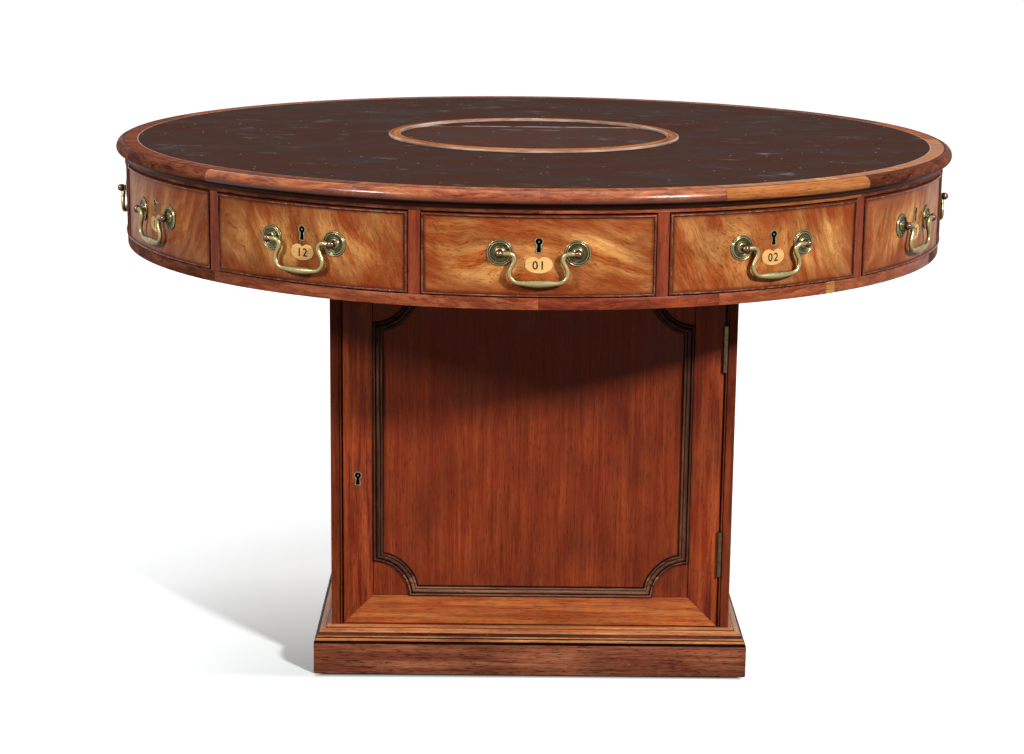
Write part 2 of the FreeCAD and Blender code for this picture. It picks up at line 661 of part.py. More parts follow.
def on_face(radius, slot):
    """Corner where a line along the drawer's side meets a circle."""
    along = "sqrt(%s * %s - %s * %s)" % (radius, radius, slot, slot)
    x = "(%s * sin(%s) - %s * cos(%s))" % (along, HALF_PITCH, slot, HALF_PITCH)
    y = "(%s * cos(%s) + %s * sin(%s))" % (along, HALF_PITCH, slot, HALF_PITCH)
    return x, y


def bowed(radius, slot):
    """Plan of a board with a bowed front and a flat back."""
    x, y = on_face(radius, slot)
    inner = wedge(FRONT_INNER, slot)
    return [("-" + inner, "-" + FRONT_INNER), ("-" + x, "-" + y, radius),
            (x, "-" + y), (inner, "-" + FRONT_INNER)]


panel_slot = "(%s + bead_width)" % DRAWER_SLOT
proud = "(face_radius + bead_rise)"
inside_slot = "(%s + drawer_side)" % DRAWER_SLOT
front_board = plate("drawer_front", [bowed("face_radius", panel_slot)],
                    DRAWER_BOTTOM + " + bead_width",
                    "%s - %s - 2 * bead_width" % (DRAWER_TOP, DRAWER_BOTTOM))
bead_low = plate("bead_low", [bowed(proud, DRAWER_SLOT)], DRAWER_BOTTOM, "bead_width")
bead_high = plate("bead_high", [bowed(proud, DRAWER_SLOT)],
                  DRAWER_TOP + " - bead_width", "bead_width")
outer_x, outer_y = on_face(proud, DRAWER_SLOT)
inner_x, inner_y = on_face(proud, panel_slot)
beads_upright = []
for name, sign in (("left", "-"), ("right", "")):
    beads_upright.append(plate("bead_" + name, [[
        (sign + wedge(FRONT_INNER, DRAWER_SLOT), "-" + FRONT_INNER),
        (sign + outer_x, "-" + outer_y), (sign + inner_x, "-" + inner_y),
        (sign + wedge(FRONT_INNER, panel_slot), "-" + FRONT_INNER)]],
        DRAWER_BOTTOM + " + bead_width",
        "%s - %s - 2 * bead_width" % (DRAWER_TOP, DRAWER_BOTTOM)))
drawer_sides = []
for name, sign in (("left", "-"), ("right", "")):
    drawer_sides.append(plate("drawer_side_" + name, [[
        (sign + wedge(FRONT_INNER, DRAWER_SLOT), "-" + FRONT_INNER),
        (sign + wedge(DRAWER_INNER, DRAWER_SLOT), "-" + DRAWER_INNER),
        (sign + wedge(DRAWER_INNER, inside_slot), "-" + DRAWER_INNER),
        (sign + wedge(FRONT_INNER, inside_slot), "-" + FRONT_INNER)]],
        DRAWER_BOTTOM, "%s - %s - side_drop" % (DRAWER_TOP, DRAWER_BOTTOM)))
back_front = "(%s + drawer_back)" % DRAWER_INNER


def between_sides(near, far):
    return [("-" + wedge(near, inside_slot), "-" + near),
            ("-" + wedge(far, inside_slot), "-" + far),
            (wedge(far, inside_slot), "-" + far), (wedge(near, inside_slot), "-" + near)]


bottom_top = "(%s + bottom_lift + bottom_board)" % DRAWER_BOTTOM
drawer_bottom = plate("drawer_bottom", [between_sides(DRAWER_INNER, FRONT_INNER)],
                      DRAWER_BOTTOM + " + bottom_lift", "bottom_board")
drawer_back = plate("drawer_back_board", [between_sides(DRAWER_INNER, back_front)], bottom_top,
                    "%s - side_drop - %s" % (DRAWER_TOP, bottom_top))

# a thin curved shell lies on the face, and tags and key plates are cut from it
shell = cut("face_shell",
            cylinder("shell_outside", "face_radius + plate_thickness", "drawer_space",
                     z=BASE_TOP),
            cylinder("shell_inside", "face_radius", "drawer_space", z=BASE_TOP))
tag_z = "(%s + tag_height)" % DRAWER_BOTTOM
half_tag = "(tag_wide / 2)"
tag_blank = plate("tag_blank", [[
    ("-tag_wide * 0.18", tag_z + " - tag_tall / 2", "tag_tall * 1.6"),
    ("tag_wide * 0.18", tag_z + " - tag_tall / 2", "tag_wide * 0.34"),
    (half_tag, tag_z + " + tag_tall * 0.1", "tag_wide * 0.27"),
    ("tag_wide * 0.22", tag_z + " + tag_tall / 2", "tag_wide * 0.27"),
    ("0", tag_z + " + tag_tall * 0.3", "tag_wide * 0.27"),
    ("-tag_wide * 0.22", tag_z + " + tag_tall / 2", "tag_wide * 0.27"),
    ("-" + half_tag, tag_z + " + tag_tall * 0.1", "tag_wide * 0.34")]],
    "face_radius - 4", "8", "XZ_Plane")
tag = common("number_tag", tag_blank, shell)
drawer_wood = group("drawer_wood", [front_board, bead_low, bead_high] + beads_upright
                    + drawer_sides + [drawer_bottom, drawer_back, tag])

plate_blank = new_body("key_plate_blank")
plate_sketch = new_sketch(plate_blank, "XZ_Plane", "face_radius - 4")
key_z = "(%s + keyhole_height)" % DRAWER_BOTTOM
draw_key_plate(plate_sketch, "0", key_z)
pad(plate_blank, plate_sketch, "8")
drawer_plate = common("drawer_key_plate", plate_blank, shell)

# ringed rosette, post and ball, bored sideways for the end of the bail
handle_z = "(%s + handle_height)" % DRAWER_BOTTOM
splay = "asin(handle_spread / face_radius)"
rosette = new_body("rosette")
profile = new_sketch(rosette, "XY_Plane")
neck_end = "(post_reach - sqrt(ball_radius * ball_radius - post_radius * post_radius))"
draw_loop(profile, [
    ("0", "0"), ("rosette_radius", "0"), ("rosette_radius", "-rosette_edge"),
    ("rosette_radius * 0.9", "-rosette_ring"), ("rosette_radius * 0.76", "-rosette_edge"),
    ("rosette_radius * 0.5", "-rosette_edge"), ("rosette_radius * 0.36", "-rosette_ring - 0.6"),
    ("post_radius", "-rosette_ring - 0.6"), ("post_radius", "-" + neck_end, "-ball_radius"),
    ("0", "-(post_reach + ball_radius)")])
revolve(rosette, profile)
knobs = []
ball_x = "((face_radius + post_reach) * sin(%s))" % splay
ball_y = "((face_radius + post_reach) * cos(%s))" % splay
for name, sign in (("left", "-"), ("right", "")):
    seat = doc.addObject("Part::Compound", "rosette_seat_" + name)
    seat.Links = [rosette]
    seat.setExpression("Placement.Base.y", bound("-face_radius"))
    turned_seat = turned_copy("rosette_" + name, seat, "%s * %s1" % (splay, sign or "+"))
    turned_seat.setExpression("Placement.Base.z", bound(handle_z))
    side = "-%s" % ball_x if sign else "%s - ball_radius - 1" % ball_x
    bore = cylinder("bail_bore_" + name, "bail_wire + pin_clearance", "ball_radius + 1",
                    side, "-" + ball_y, handle_z, along="X")
    knobs.append(cut("knob_" + name, turned_seat, bore))
drawer_brass = group("drawer_brass", [drawer_plate] + knobs)

# swan-neck bail, modelled about its own axis and then hung between the balls
bail = new_body("bail")
pin_x = "(%s - 1)" % ball_x
drop_x = "(%s - bail_shoulder)" % ball_x
path = new_sketch(bail, "XZ_Plane")
neck_x = "(%s - neck_bend)" % drop_x
waist_x = "(%s + bail_inner - bail_outer)" % neck_x
mid_x = "((%s + %s) / 2)" % (neck_x, waist_x)
mid_z = "(-(neck_bend + bail_waist) / 2)"
sweep_dx, sweep_dz = "(%s - %s)" % (waist_x, neck_x), "(bail_waist - neck_bend)"
sweep_r = "((%s * %s + %s * %s) / (4 * %s))" % (sweep_dx, sweep_dx, sweep_dz, sweep_dz, sweep_dx)
low_x, low_z = "(%s - bail_corner)" % waist_x, "(-bail_waist - bail_corner)"
run = [(pin_x, "0"), (drop_x, "0", "neck_bend"), (neck_x, "-neck_bend", sweep_r),
       (mid_x, mid_z, "-" + sweep_r), (waist_x, "-bail_waist", "-bail_corner"), (low_x, low_z)]
mirror = [("-" + low_x, low_z, "-bail_corner"), ("-" + waist_x, "-bail_waist", "-" + sweep_r),
          ("-" + mid_x, mid_z, sweep_r), ("-" + neck_x, "-neck_bend", "neck_bend"),
          ("-" + drop_x, "0"), ("-" + pin_x, "0")]


def draw_path(sketch, corners):
    """Open run of lines and arcs through corners, as in draw_loop."""
    points = [Vector(value(c[0]), value(c[1]), 0) for c in corners]
    for i in range(len(corners) - 1):
        start, end = points[i], points[i + 1]
        if len(corners[i]) > 2:
            edge = arc_between(start, end, value(corners[i][2]))
        else:
            edge = Part.LineSegment(start, end)
        sketch.addGeometry(edge, False)
    for i, corner in enumerate(corners):
        ends = []
        for geometry in (i - 1, i):
            if 0 <= geometry < len(corners) - 1:
                near = min((1, 2), key=lambda p: (sketch.getPoint(geometry, p)
                                                  - points[i]).Length)
                ends.append((geometry, near))
        if len(ends) == 2:
            sketch.addConstraint(Sketcher.Constraint("Coincident", *ends[0], *ends[1]))
        constrain_point(sketch, ends[0][0], ends[0][1], corner[0], corner[1])
        if len(corner) > 2:
            index = sketch.addConstraint(Sketcher.Constraint(
                "Radius", i, abs(value(corner[2]))))
            sketch.setExpression("Constraints[%d]" % index, "abs(%s)" % bound(corner[2]))


draw_path(path, run + mirror)
section = new_sketch(bail, "YZ_Plane", pin_x)
draw_circle(section, "bail_wire")
pipe = bail.newObject("PartDesign::AdditivePipe", "bail_pipe")
pipe.Profile = section
pipe.Spine = (path, [])
grip = new_sketch(bail, "XZ_Plane", shift=low_z)
swell = "(grip_radius - bail_wire)"
grip_curve = "((grip_half * grip_half + %s * %s) / (2 * %s))" % (swell, swell, swell)
draw_loop(grip, [("grip_half", "0"), ("grip_half", "bail_wire", grip_curve),
                 ("-grip_half", "bail_wire"), ("-grip_half", "0")])
revolve(bail, grip, "H_Axis")
bail.setExpression("Placement.Base.y", bound("-" + ball_y))
bail.setExpression("Placement.Base.z", bound(handle_z))

for i in range(drawer_count):
    turn = "%s * %d" % (pitch, i)
    number = "drawer_%02d" % (i + 1)
    node(turned_copy(number, drawer_wood, turn))
    node(turned_copy(number + "_fittings", drawer_brass, turn))
    node(turned_copy(number + "_handle", bail, turn))

doc.recompute()

# -------------------------------------------------------------------- export

failed = [item.Label for item in doc.Objects
          if "Invalid" in item.State or "Error" in item.State]
if failed:
    raise RuntimeError("did not build: " + ", ".join(failed))
for item in nodes:
    if item.Shape.isNull() or not item.Shape.isValid() or not item.Shape.Solids:
        raise RuntimeError("%s has no sound shape" % item.Label)

os.makedirs("parts", exist_ok=True)
for item in nodes:
    item.Shape.exportStep("parts/%s.step" % item.Label)
print("%d nodes, %d solids" % (len(nodes), sum(len(n.Shape.Solids) for n in nodes)))
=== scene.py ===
"""Looks of a revolving rent table: leathered round top, wedge drawers, square cupboard pedestal.

Lengths are written in millimetres and turned to metres where a mesh is made.
Angles round the drum are in degrees from the front (-Y), growing towards +X.
"""

from __future__ import annotations

import logging
import math
from contextlib import contextmanager
from dataclasses import dataclass, field
from enum import Enum
from typing import Callable, Iterable, Iterator, Mapping, Sequence, Union

import bmesh
import bpy
from mathutils import Matrix, Vector

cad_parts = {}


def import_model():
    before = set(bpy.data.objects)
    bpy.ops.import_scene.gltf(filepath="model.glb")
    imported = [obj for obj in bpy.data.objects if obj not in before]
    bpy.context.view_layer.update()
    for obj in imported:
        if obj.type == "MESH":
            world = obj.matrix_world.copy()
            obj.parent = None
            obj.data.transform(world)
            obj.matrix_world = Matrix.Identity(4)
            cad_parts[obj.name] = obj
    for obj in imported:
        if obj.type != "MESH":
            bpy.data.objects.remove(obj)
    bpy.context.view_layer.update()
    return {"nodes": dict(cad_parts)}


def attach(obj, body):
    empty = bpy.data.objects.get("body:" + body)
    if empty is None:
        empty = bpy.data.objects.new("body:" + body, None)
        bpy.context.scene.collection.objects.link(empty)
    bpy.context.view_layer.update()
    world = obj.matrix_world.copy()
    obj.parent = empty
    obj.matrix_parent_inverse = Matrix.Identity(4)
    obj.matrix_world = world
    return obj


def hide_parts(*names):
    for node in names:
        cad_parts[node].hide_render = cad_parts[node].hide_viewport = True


log = logging.getLogger("rent_table")

MM = 0.001
# corners nearer than this, in metres, are merged
WELD = 0.000002
# edges sharper than this many degrees are rounded by wear
SHARP = 40.0
# a face looks along an axis where its normal is longer than this along it
FACING = 0.75
# streaks on end grain are this much shorter
END_GRAIN = 0.3
# where lengths round the drum and across its banding are measured, in metres from the axis
DRUM_RADIUS = 0.62
BANDING_RADIUS = 0.61
# how far along and across the log the next copy and the next length are cut, in metres
NEXT_COPY = (0.83, 0.37)
NEXT_LENGTH = (0.31, 0.17)

Point2 = tuple[float, float]
Point3 = tuple[float, float, float]
Piece = bpy.types.Object
Face = bpy.types.MeshPolygon
Corner = bpy.types.MeshVertex
Material = bpy.types.Material
Tree = bpy.types.NodeTree
Node = bpy.types.Node
Socket = bpy.types.NodeSocket
Source = Union[Node, Socket]


# ------------------------------------------------------------------ the bench


def adjust(thing: object, **settings: object) -> None:
    """Sets several properties of one thing."""
    for key, value in settings.items():
        setattr(thing, key, value)


class Element(Enum):
    """What edit mode picks."""

    VERT = "verts"
    EDGE = "edges"
    FACE = "faces"


class Grain(Enum):
    """Which way the wood's grain runs on a piece."""

    X = "x"
    Y = "y"
    Z = "z"
    ROUND = "round"
    RADIAL = "radial"


def clear_bench() -> None:
    """Leaves edit mode and deselects every object."""
    if bpy.context.mode != "OBJECT":
        bpy.ops.object.mode_set(mode="OBJECT")
    bpy.ops.object.select_all(action="DESELECT")


def take(*pieces: Piece) -> None:
    """Selects only these pieces and makes the first one active.

    Args:
        pieces: the pieces, one at least.
    """
    clear_bench()
    for piece in pieces:
        piece.select_set(True)
    bpy.context.view_layer.objects.active = pieces[0]


@contextmanager
def edit(piece: Piece) -> Iterator[None]:
    """Edit mode on one piece, with nothing of it selected at first.

    Args:
        piece: the piece.

    Yields:
        Nothing; the piece is in edit mode meanwhile.
    """
    take(piece)
    bpy.ops.object.mode_set(mode="EDIT")
    bpy.ops.mesh.select_all(action="DESELECT")
    yield
    bpy.ops.object.mode_set(mode="OBJECT")


def pick(piece: Piece, kind: Element, test: Callable[..., bool]) -> None:
    """Selects, in edit mode, the elements of a piece that pass a test.

    Args:
        piece: the piece in edit mode.
        kind: corners, edges or faces.
        test: takes an element and says whether it is wanted.
    """
    bpy.ops.mesh.select_mode(type=kind.name)
    bpy.ops.mesh.select_all(action="DESELECT")
    shape = bmesh.from_edit_mesh(piece.data)
    shape.normal_update()
    for element in [each for each in getattr(shape, kind.value) if test(each)]:
        element.select_set(True)
    shape.select_flush(True)
    bmesh.update_edit_mesh(piece.data)


def settle(piece: Piece) -> Piece:
    """Puts a piece's place, turn and scale into its mesh."""
    take(piece)
    bpy.ops.object.transform_apply(location=True, rotation=True, scale=True)
    return piece


def named(piece: Piece, name: str) -> Piece:
    """Names a piece and its mesh."""
    piece.name = name
    piece.data.name = name
    return piece


def whole() -> None:
    """Selects all of the piece in edit mode."""
    bpy.ops.mesh.select_all(action="SELECT")


def face_outward(weld: bool = False) -> None:
    """Makes the faces of the piece in edit mode point outwards.

    Args:
        weld: whether corners in the same place are merged first.
    """
    whole()
    if weld:
        bpy.ops.mesh.remove_doubles(threshold=WELD)
    bpy.ops.mesh.normals_make_consistent(inside=False)


def to_mesh(name: str) -> Piece:
    """Makes a piece of the active text or curve, with its place in its mesh.

    Args:
        name: the piece's name.

    Returns:
        The piece, welded and facing outwards.
    """
    bpy.ops.object.convert(target="MESH")
    piece = settle(named(bpy.context.object, name))
    with edit(piece):
        face_outward(weld=True)
    return piece


def slab(name: str, low: Point3, high: Point3) -> Piece:
    """A block between two corners.

    Args:
        name: the piece's name.
        low: its lowest corner, in millimetres.
        high: its highest corner, in millimetres.

    Returns:
        The block, with its place in its mesh.
    """
    clear_bench()
    bpy.ops.mesh.primitive_cube_add(
        size=1, location=[(a + b) / 2 * MM for a, b in zip(low, high)],
        scale=[(b - a) * MM for a, b in zip(low, high)])
    return settle(named(bpy.context.object, name))


def trace(name: str, points: Sequence[Point3]) -> Piece:
    """A flat face whose outline is drawn by extruding one corner from point to point.

    Args:
        name: the piece's name.
        points: the outline in millimetres, without its first point again.

    Returns:
        The face.
    """
    clear_bench()
    bpy.ops.mesh.primitive_plane_add(size=MM, location=(0, 0, 0))
    piece = named(bpy.context.object, name)
    with edit(piece):
        pick(piece, Element.VERT, lambda corner: corner.index > 0)
        bpy.ops.mesh.delete(type="VERT")
        whole()
        here = bmesh.from_edit_mesh(piece.data).verts[:][0].co.copy()
        for number, point in enumerate(points):
            step = Vector(point) * MM - here
            here += step
            if number == 0:
                bpy.ops.transform.translate(value=step)
            else:
                bpy.ops.mesh.extrude_region_move(TRANSFORM_OT_translate={"value": step})
        whole()
        bpy.ops.mesh.edge_face_add()
    return piece


def draw_front(name: str, points: Sequence[Point2], y: float) -> Piece:
    """A flat face seen from the front: its outline of x and z, on the plane at y."""
    return trace(name, [(x, y, z) for x, z in points])


def sweep(first: float, last: float, count: int) -> list[float]:
    """The ends of count equal parts between two angles, both angles among them."""
    return [first + (last - first) * i / count for i in range(count + 1)]


def arc(x: float, z: float, radius: float, angles: Iterable[float],
        rise: float | None = None) -> list[Point2]:
    """Points of a round or oval arc.

    Args:
        x: its centre.
        z: the centre's height.
        radius: its radius, which is its reach along x where it is oval.
        angles: where its points lie, in degrees.
        rise: its reach in height, where it is oval.

    Returns:
        The points.
    """
    up = radius if rise is None else rise
    return [(x + radius * math.cos(math.radians(a)), z + up * math.sin(math.radians(a)))
            for a in angles]


def extrude(piece: Piece, step: Point3) -> Piece:
    """Draws a flat face out into a solid.

    Args:
        piece: the face.
        step: how far and which way, in millimetres.

    Returns:
        The solid.
    """
    with edit(piece):
        whole()
        bpy.ops.mesh.extrude_region_move(TRANSFORM_OT_translate={"value": Vector(step) * MM})
        face_outward()
    return piece


def stand_up(name: str, plan: Sequence[Point2], low: float, height: float) -> Piece:
    """Draws a plan up into a solid.

    Args:
        name: the piece's name.
        plan: its outline seen from above, in millimetres.
        low: the height of its foot.
        height: how tall it is.

    Returns:
        The solid.
    """
    return extrude(trace(name, [(x, y, low) for x, y in plan]), (0, 0, height))


def turned(name: str, section: Sequence[Point2], steps: int = 192,
           start: float = 0.0, sweep: float = 360.0) -> Piece:
    """A solid turned about the upright axis.

    Args:
        name: the piece's name.
        section: closed outline of (radius, height), in millimetres.
        steps: how many flats the turn has.
        start: angle of the first flat's edge, in degrees from the front.
        sweep: how far it turns, in degrees.

    Returns:
        The solid.
    """
    angle = math.radians(start)
    piece = trace(name, [(r * math.sin(angle), -r * math.cos(angle), z) for r, z in section])
    with edit(piece):
        whole()
        if sweep == 360.0:
            bpy.ops.mesh.delete(type="ONLY_FACE")
            whole()
        bpy.ops.mesh.spin(steps=steps, angle=math.radians(sweep), center=(0, 0, 0),
                          axis=(0, 0, -1))
        whole()
        bpy.ops.mesh.remove_doubles(threshold=WELD)
        bpy.ops.mesh.delete_loose(use_verts=True, use_edges=True, use_faces=False)
        face_outward()
    return piece


def slice_off(piece: Piece, point: Point3, normal: Point3) -> Piece:
    """Cuts away what lies beyond a plane and closes the cut.

    Args:
        piece: the solid to cut.
        point: a point of the plane, in millimetres.
        normal: the side that is cut away.

    Returns:
        The same solid.
    """
    with edit(piece):
        whole()
        bpy.ops.mesh.bisect(plane_co=Vector(point) * MM, plane_no=normal,
                            use_fill=True, clear_outer=True)
    return piece


def soften(piece: Piece, width: float, segments: int = 2) -> Piece:
    """Rounds the sharp edges of a piece, as wear and sandpaper do.

    Args:
        piece: the piece.
        width: how far the rounding reaches, in millimetres.
        segments: how many flats it has.

    Returns:
        The same piece.
    """
    take(piece)
    bevel = piece.modifiers.new("soft_edges", "BEVEL")
    adjust(bevel, width=width * MM, segments=segments, limit_method="ANGLE",
           angle_limit=math.radians(SHARP))
    bpy.ops.object.modifier_apply(modifier=bevel.name)
    return piece


def smooth(piece: Piece, angle: float = 35.0) -> Piece:
    """Shades a piece smooth except at edges sharper than an angle in degrees."""
    take(piece)
    bpy.ops.object.shade_smooth_by_angle(angle=math.radians(angle))
    return piece


def join(name: str, pieces: Sequence[Piece]) -> Piece:
    """Makes one piece of several, each still a shell of its own.

    Args:
        name: the new piece's name.
        pieces: what it is made of.

    Returns:
        The joined piece.
    """
    take(*pieces)
    if len(pieces) > 1:
        bpy.ops.object.join()
    return named(pieces[0], name)


def turned_copy(master: Piece, name: str, degrees: float, step: int = 0,
                lie: float = 0.0) -> Piece:
    """The same piece again, with a mesh of its own, turned about the upright axis.

    Args:
        master: the piece to copy.
        name: the copy's name.
        degrees: how far it is turned.
        step: its number, which gives it another part of the log.
        lie: how far its grain is slanted, in degrees.

    Returns:
        The copy.
    """
    copy = master.copy()
    copy.data = master.data.copy()
    bpy.context.scene.collection.objects.link(copy)
    copy.rotation_euler = (0, 0, math.radians(degrees))
    settle(named(copy, name))
    recut(copy, (NEXT_COPY[0] * step, NEXT_COPY[1] * step), lie)
    return copy


def recut(piece: Piece, shift: Point2, lie: float) -> None:
    """Lays a copy's grain map anew, as if it was cut from another part of the log.

    Args:
        piece: the copy.
        shift: how far along and across the log it moves, in metres.
        lie: how far the grain turns, in degrees.
    """
    old = piece.data.uv_layers.get("grain")
    if not old:
        return
    cos, sin = math.cos(math.radians(lie)), math.sin(math.radians(lie))
    spots = [tuple(spot.vector) for spot in old.uv]
    piece.data.uv_layers.remove(old)
    layer = piece.data.uv_layers.new(name="grain", do_init=False)
    for spot, (u, v) in zip(layer.uv, spots):
        spot.vector = (u * cos - v * sin + shift[0], u * sin + v * cos + shift[1])


def radius_of(place: Vector) -> float:
    """How far a place is from the upright axis."""
    return math.hypot(place.x, place.y)


def bearing_of(place: Vector, near: Vector | None = None) -> float:
    """The angle round the drum at which a place lies.

    Args:
        place: the place.
        near: if given, the angle doesn't jump at the back between there and the place.

    Returns:
        The angle, in radians.
    """
    turn = math.atan2(place.x, -place.y)
    if near is None:
        return turn
    start = bearing_of(near)
    return start + (turn - start + math.pi) % math.tau - math.pi


def lay(piece: Piece, rule: Callable[[Face, Corner], Point2], name: str = "grain") -> Piece:
    """Lays a map on a piece.

    Args:
        piece: the piece, in its place.
        rule: takes a face and one of its corners and says where on the map that is.
        name: the map's name.

    Returns:
        The same piece.
    """
    mesh = piece.data
    layer = mesh.uv_layers.get(name) or mesh.uv_layers.new(name=name)
    for face in mesh.polygons:
        for loop in face.loop_indices:
            corner = mesh.vertices[mesh.loops[loop].vertex_index]
            layer.uv[loop].vector = rule(face, corner)
    return piece


def lay_grain(piece: Piece, grain: Grain, shift: Point2 = (0.0, 0.0)) -> Piece:
    """Gives a piece a grain map in metres, U along the grain and V across it.

    Args:
        piece: the piece, in its place.
        grain: which way the grain runs.
        shift: where on the log the piece was cut.

    Returns:
        The same piece.
    """

    def place(face: Face, corner: Corner) -> Point2:
        """Where a corner is on the log.

        Args:
            face: the face that the corner is on.
            corner: the corner.

        Returns:
            Its place along and across the grain, in metres.
        """
        x, y, z = corner.co
        flat, sideways = abs(face.normal.z) > FACING, abs(face.normal.x) > FACING
        if grain is Grain.X:
            u, v = (y * END_GRAIN, z) if sideways else (x, y if flat else z)
        elif grain is Grain.Y:
            u, v = y, x if flat else z
        elif grain is Grain.Z:
            u, v = (x * END_GRAIN, y) if flat else (z, y if sideways else x)
        elif grain is Grain.RADIAL:
            u, v = radius_of(corner.co), bearing_of(corner.co, face.center) * BANDING_RADIUS
        elif flat:
            u, v = x, y
        else:
            u, v = bearing_of(corner.co, face.center) * DRUM_RADIUS, z
        return u + shift[0], v + shift[1]

    return lay(piece, place)


def lay_along(piece: Piece, section: Sequence[Point2], radius: float) -> Piece:
    """Lays the grain of a turned moulding along its run and over its curve.

    Args:
        piece: the turned piece.
        section: the outline it was turned from, in millimetres.
        radius: the radius that lengths are measured at, in millimetres.

    Returns:
        The same piece.
    """
    run = [0.0]
    for last, point in zip(section, section[1:]):
        run.append(run[-1] + math.dist(point, last))

    def over(corner: Corner) -> float:
        """How far over the curve a corner lies, in metres."""
        here = (radius_of(corner.co) / MM, corner.co.z / MM)
        return run[min(range(len(section)), key=lambda i: math.dist(section[i], here))] * MM

    lengths = [over(corner) for corner in piece.data.vertices]
    return lay(piece, lambda face, corner: (
        bearing_of(corner.co, face.center) * radius * MM, lengths[corner.index]))


def lay_lengths(piece: Piece, tones: Sequence[int]) -> list[int]:
    """Moves a turned piece's grain map for each length of veneer it is made of.

    Args:
        piece: the turned piece.
        tones: a slot number for each length, from the back going towards -X.

    Returns:
        The slot number of each face.
    """
    layer = piece.data.uv_layers["grain"]
    slots = []
    for face in piece.data.polygons:
        part = int((bearing_of(face.center) / math.tau + 0.5) * len(tones))
        part = min(part, len(tones) - 1)
        for loop in face.loop_indices:
            u, v = layer.uv[loop].vector
            layer.uv[loop].vector = (u + NEXT_LENGTH[0] * part, v + NEXT_LENGTH[1] * part)
        slots.append(tones[part])
    return slots


def paint_faces(piece: Piece, rule: Callable[[Face], int]) -> None:
    """Gives each face of a piece the slot number that a rule says."""
    for face in piece.data.polygons:
        face.material_index = rule(face)


# ---------------------------------------------------------------- the finishes


def colour(code: str) -> tuple[float, float, float, float]:
    """Turns an sRGB hex value to linear light.

    Args:
        code: the value, such as "#8a3f18".

    Returns:
        Red, green, blue and an alpha of 1.
    """
    parts = [int(code[i:i + 2], 16) / 255 for i in (1, 3, 5)]
    linear = [p / 12.92 if p <= 0.04045 else ((p + 0.055) / 1.055) ** 2.4 for p in parts]
    return (linear[0], linear[1], linear[2], 1.0)


def per_mm(along: float, across: float, depth: float = 0.0) -> Point3:
    """The scale at which a pattern has these sizes in millimetres."""
    return (1000 / along, 1000 / across, 1000 / (depth or across))


def connect(tree: Tree, node: Node, inputs: Mapping[Union[str, int], object]) -> None:
    """Sets or links a node's inputs.

    Args:
        tree: the material's nodes.
        node: the node.
        inputs: for each input, by name or number, its value, or the socket or the node whose
            working output is linked to it.
    """
    for key, value in inputs.items():
        if isinstance(value, Node):
            value = next(socket for socket in value.outputs if socket.enabled)
        if isinstance(value, Socket):
            tree.links.new(value, node.inputs[key])
        else:
            node.inputs[key].default_value = value


def add(tree: Tree, kind: str, inputs: Mapping[Union[str, int], object] | None = None,
        **settings: object) -> Node:
    """Adds a node with its settings and links.

    Args:
        tree: the material's nodes.
        kind: the node's type, without its ShaderNode prefix.
        inputs: its inputs, as connect takes them.
        settings: the node's own properties.

    Returns:
        The node.
    """
    node = tree.nodes.new("ShaderNode" + kind)
    adjust(node, **settings)
    connect(tree, node, inputs or {})
    return node


def find(tree: Tree, kind: str) -> Node:
    """The node of a type that a new tree has."""
    return next(node for node in tree.nodes if node.type == kind)


def begin(name: str) -> tuple[Material, Tree, Node]:
    """Starts a material.

    Args:
        name: the finish's name.

    Returns:
        The material, its node tree and its shader.
    """
    material = bpy.data.materials.new(name)
    material.use_nodes = True
    return material, material.node_tree, find(material.node_tree, "BSDF_PRINCIPLED")


def patches(tree: Tree, place: Source, size: Point3, low: float, high: float,
            share: float = 1.0, detail: float = 3.0, rough: float = 0.55,
            shift: Point3 = (0.0, 0.0, 0.0)) -> Node:
    """A mask of soft-edged patches.

    Args:
        tree: the material's nodes.
        place: the coordinates, in metres.
        size: the patches' scale, as per_mm gives it.
        low: noise below this is outside the patches.
        high: noise above this is wholly inside them.
        share: the mask's value inside.
        detail: how many finer layers the noise has.
        rough: how strong the finer layers are.
        shift: moves the pattern, so that two masks differ.

    Returns:
        The mask, from 0 to share.
    """
    spread = add(tree, "Mapping", {"Vector": place, "Location": shift, "Scale": size})
    noise = add(tree, "TexNoise", {"Vector": spread, "Scale": 1.0, "Detail": detail,
                                   "Roughness": rough})
    return add(tree, "MapRange", {0: noise, 1: low, 2: high, 4: share})


class Figure(Enum):
    """How far the grain sways and over what length and width, in millimetres."""

    STRAIGHT = (5.0, 420.0, 60.0)
    FLAME = (62.0, 230.0, 130.0)
    MOTTLED = (26.0, 130.0, 55.0)


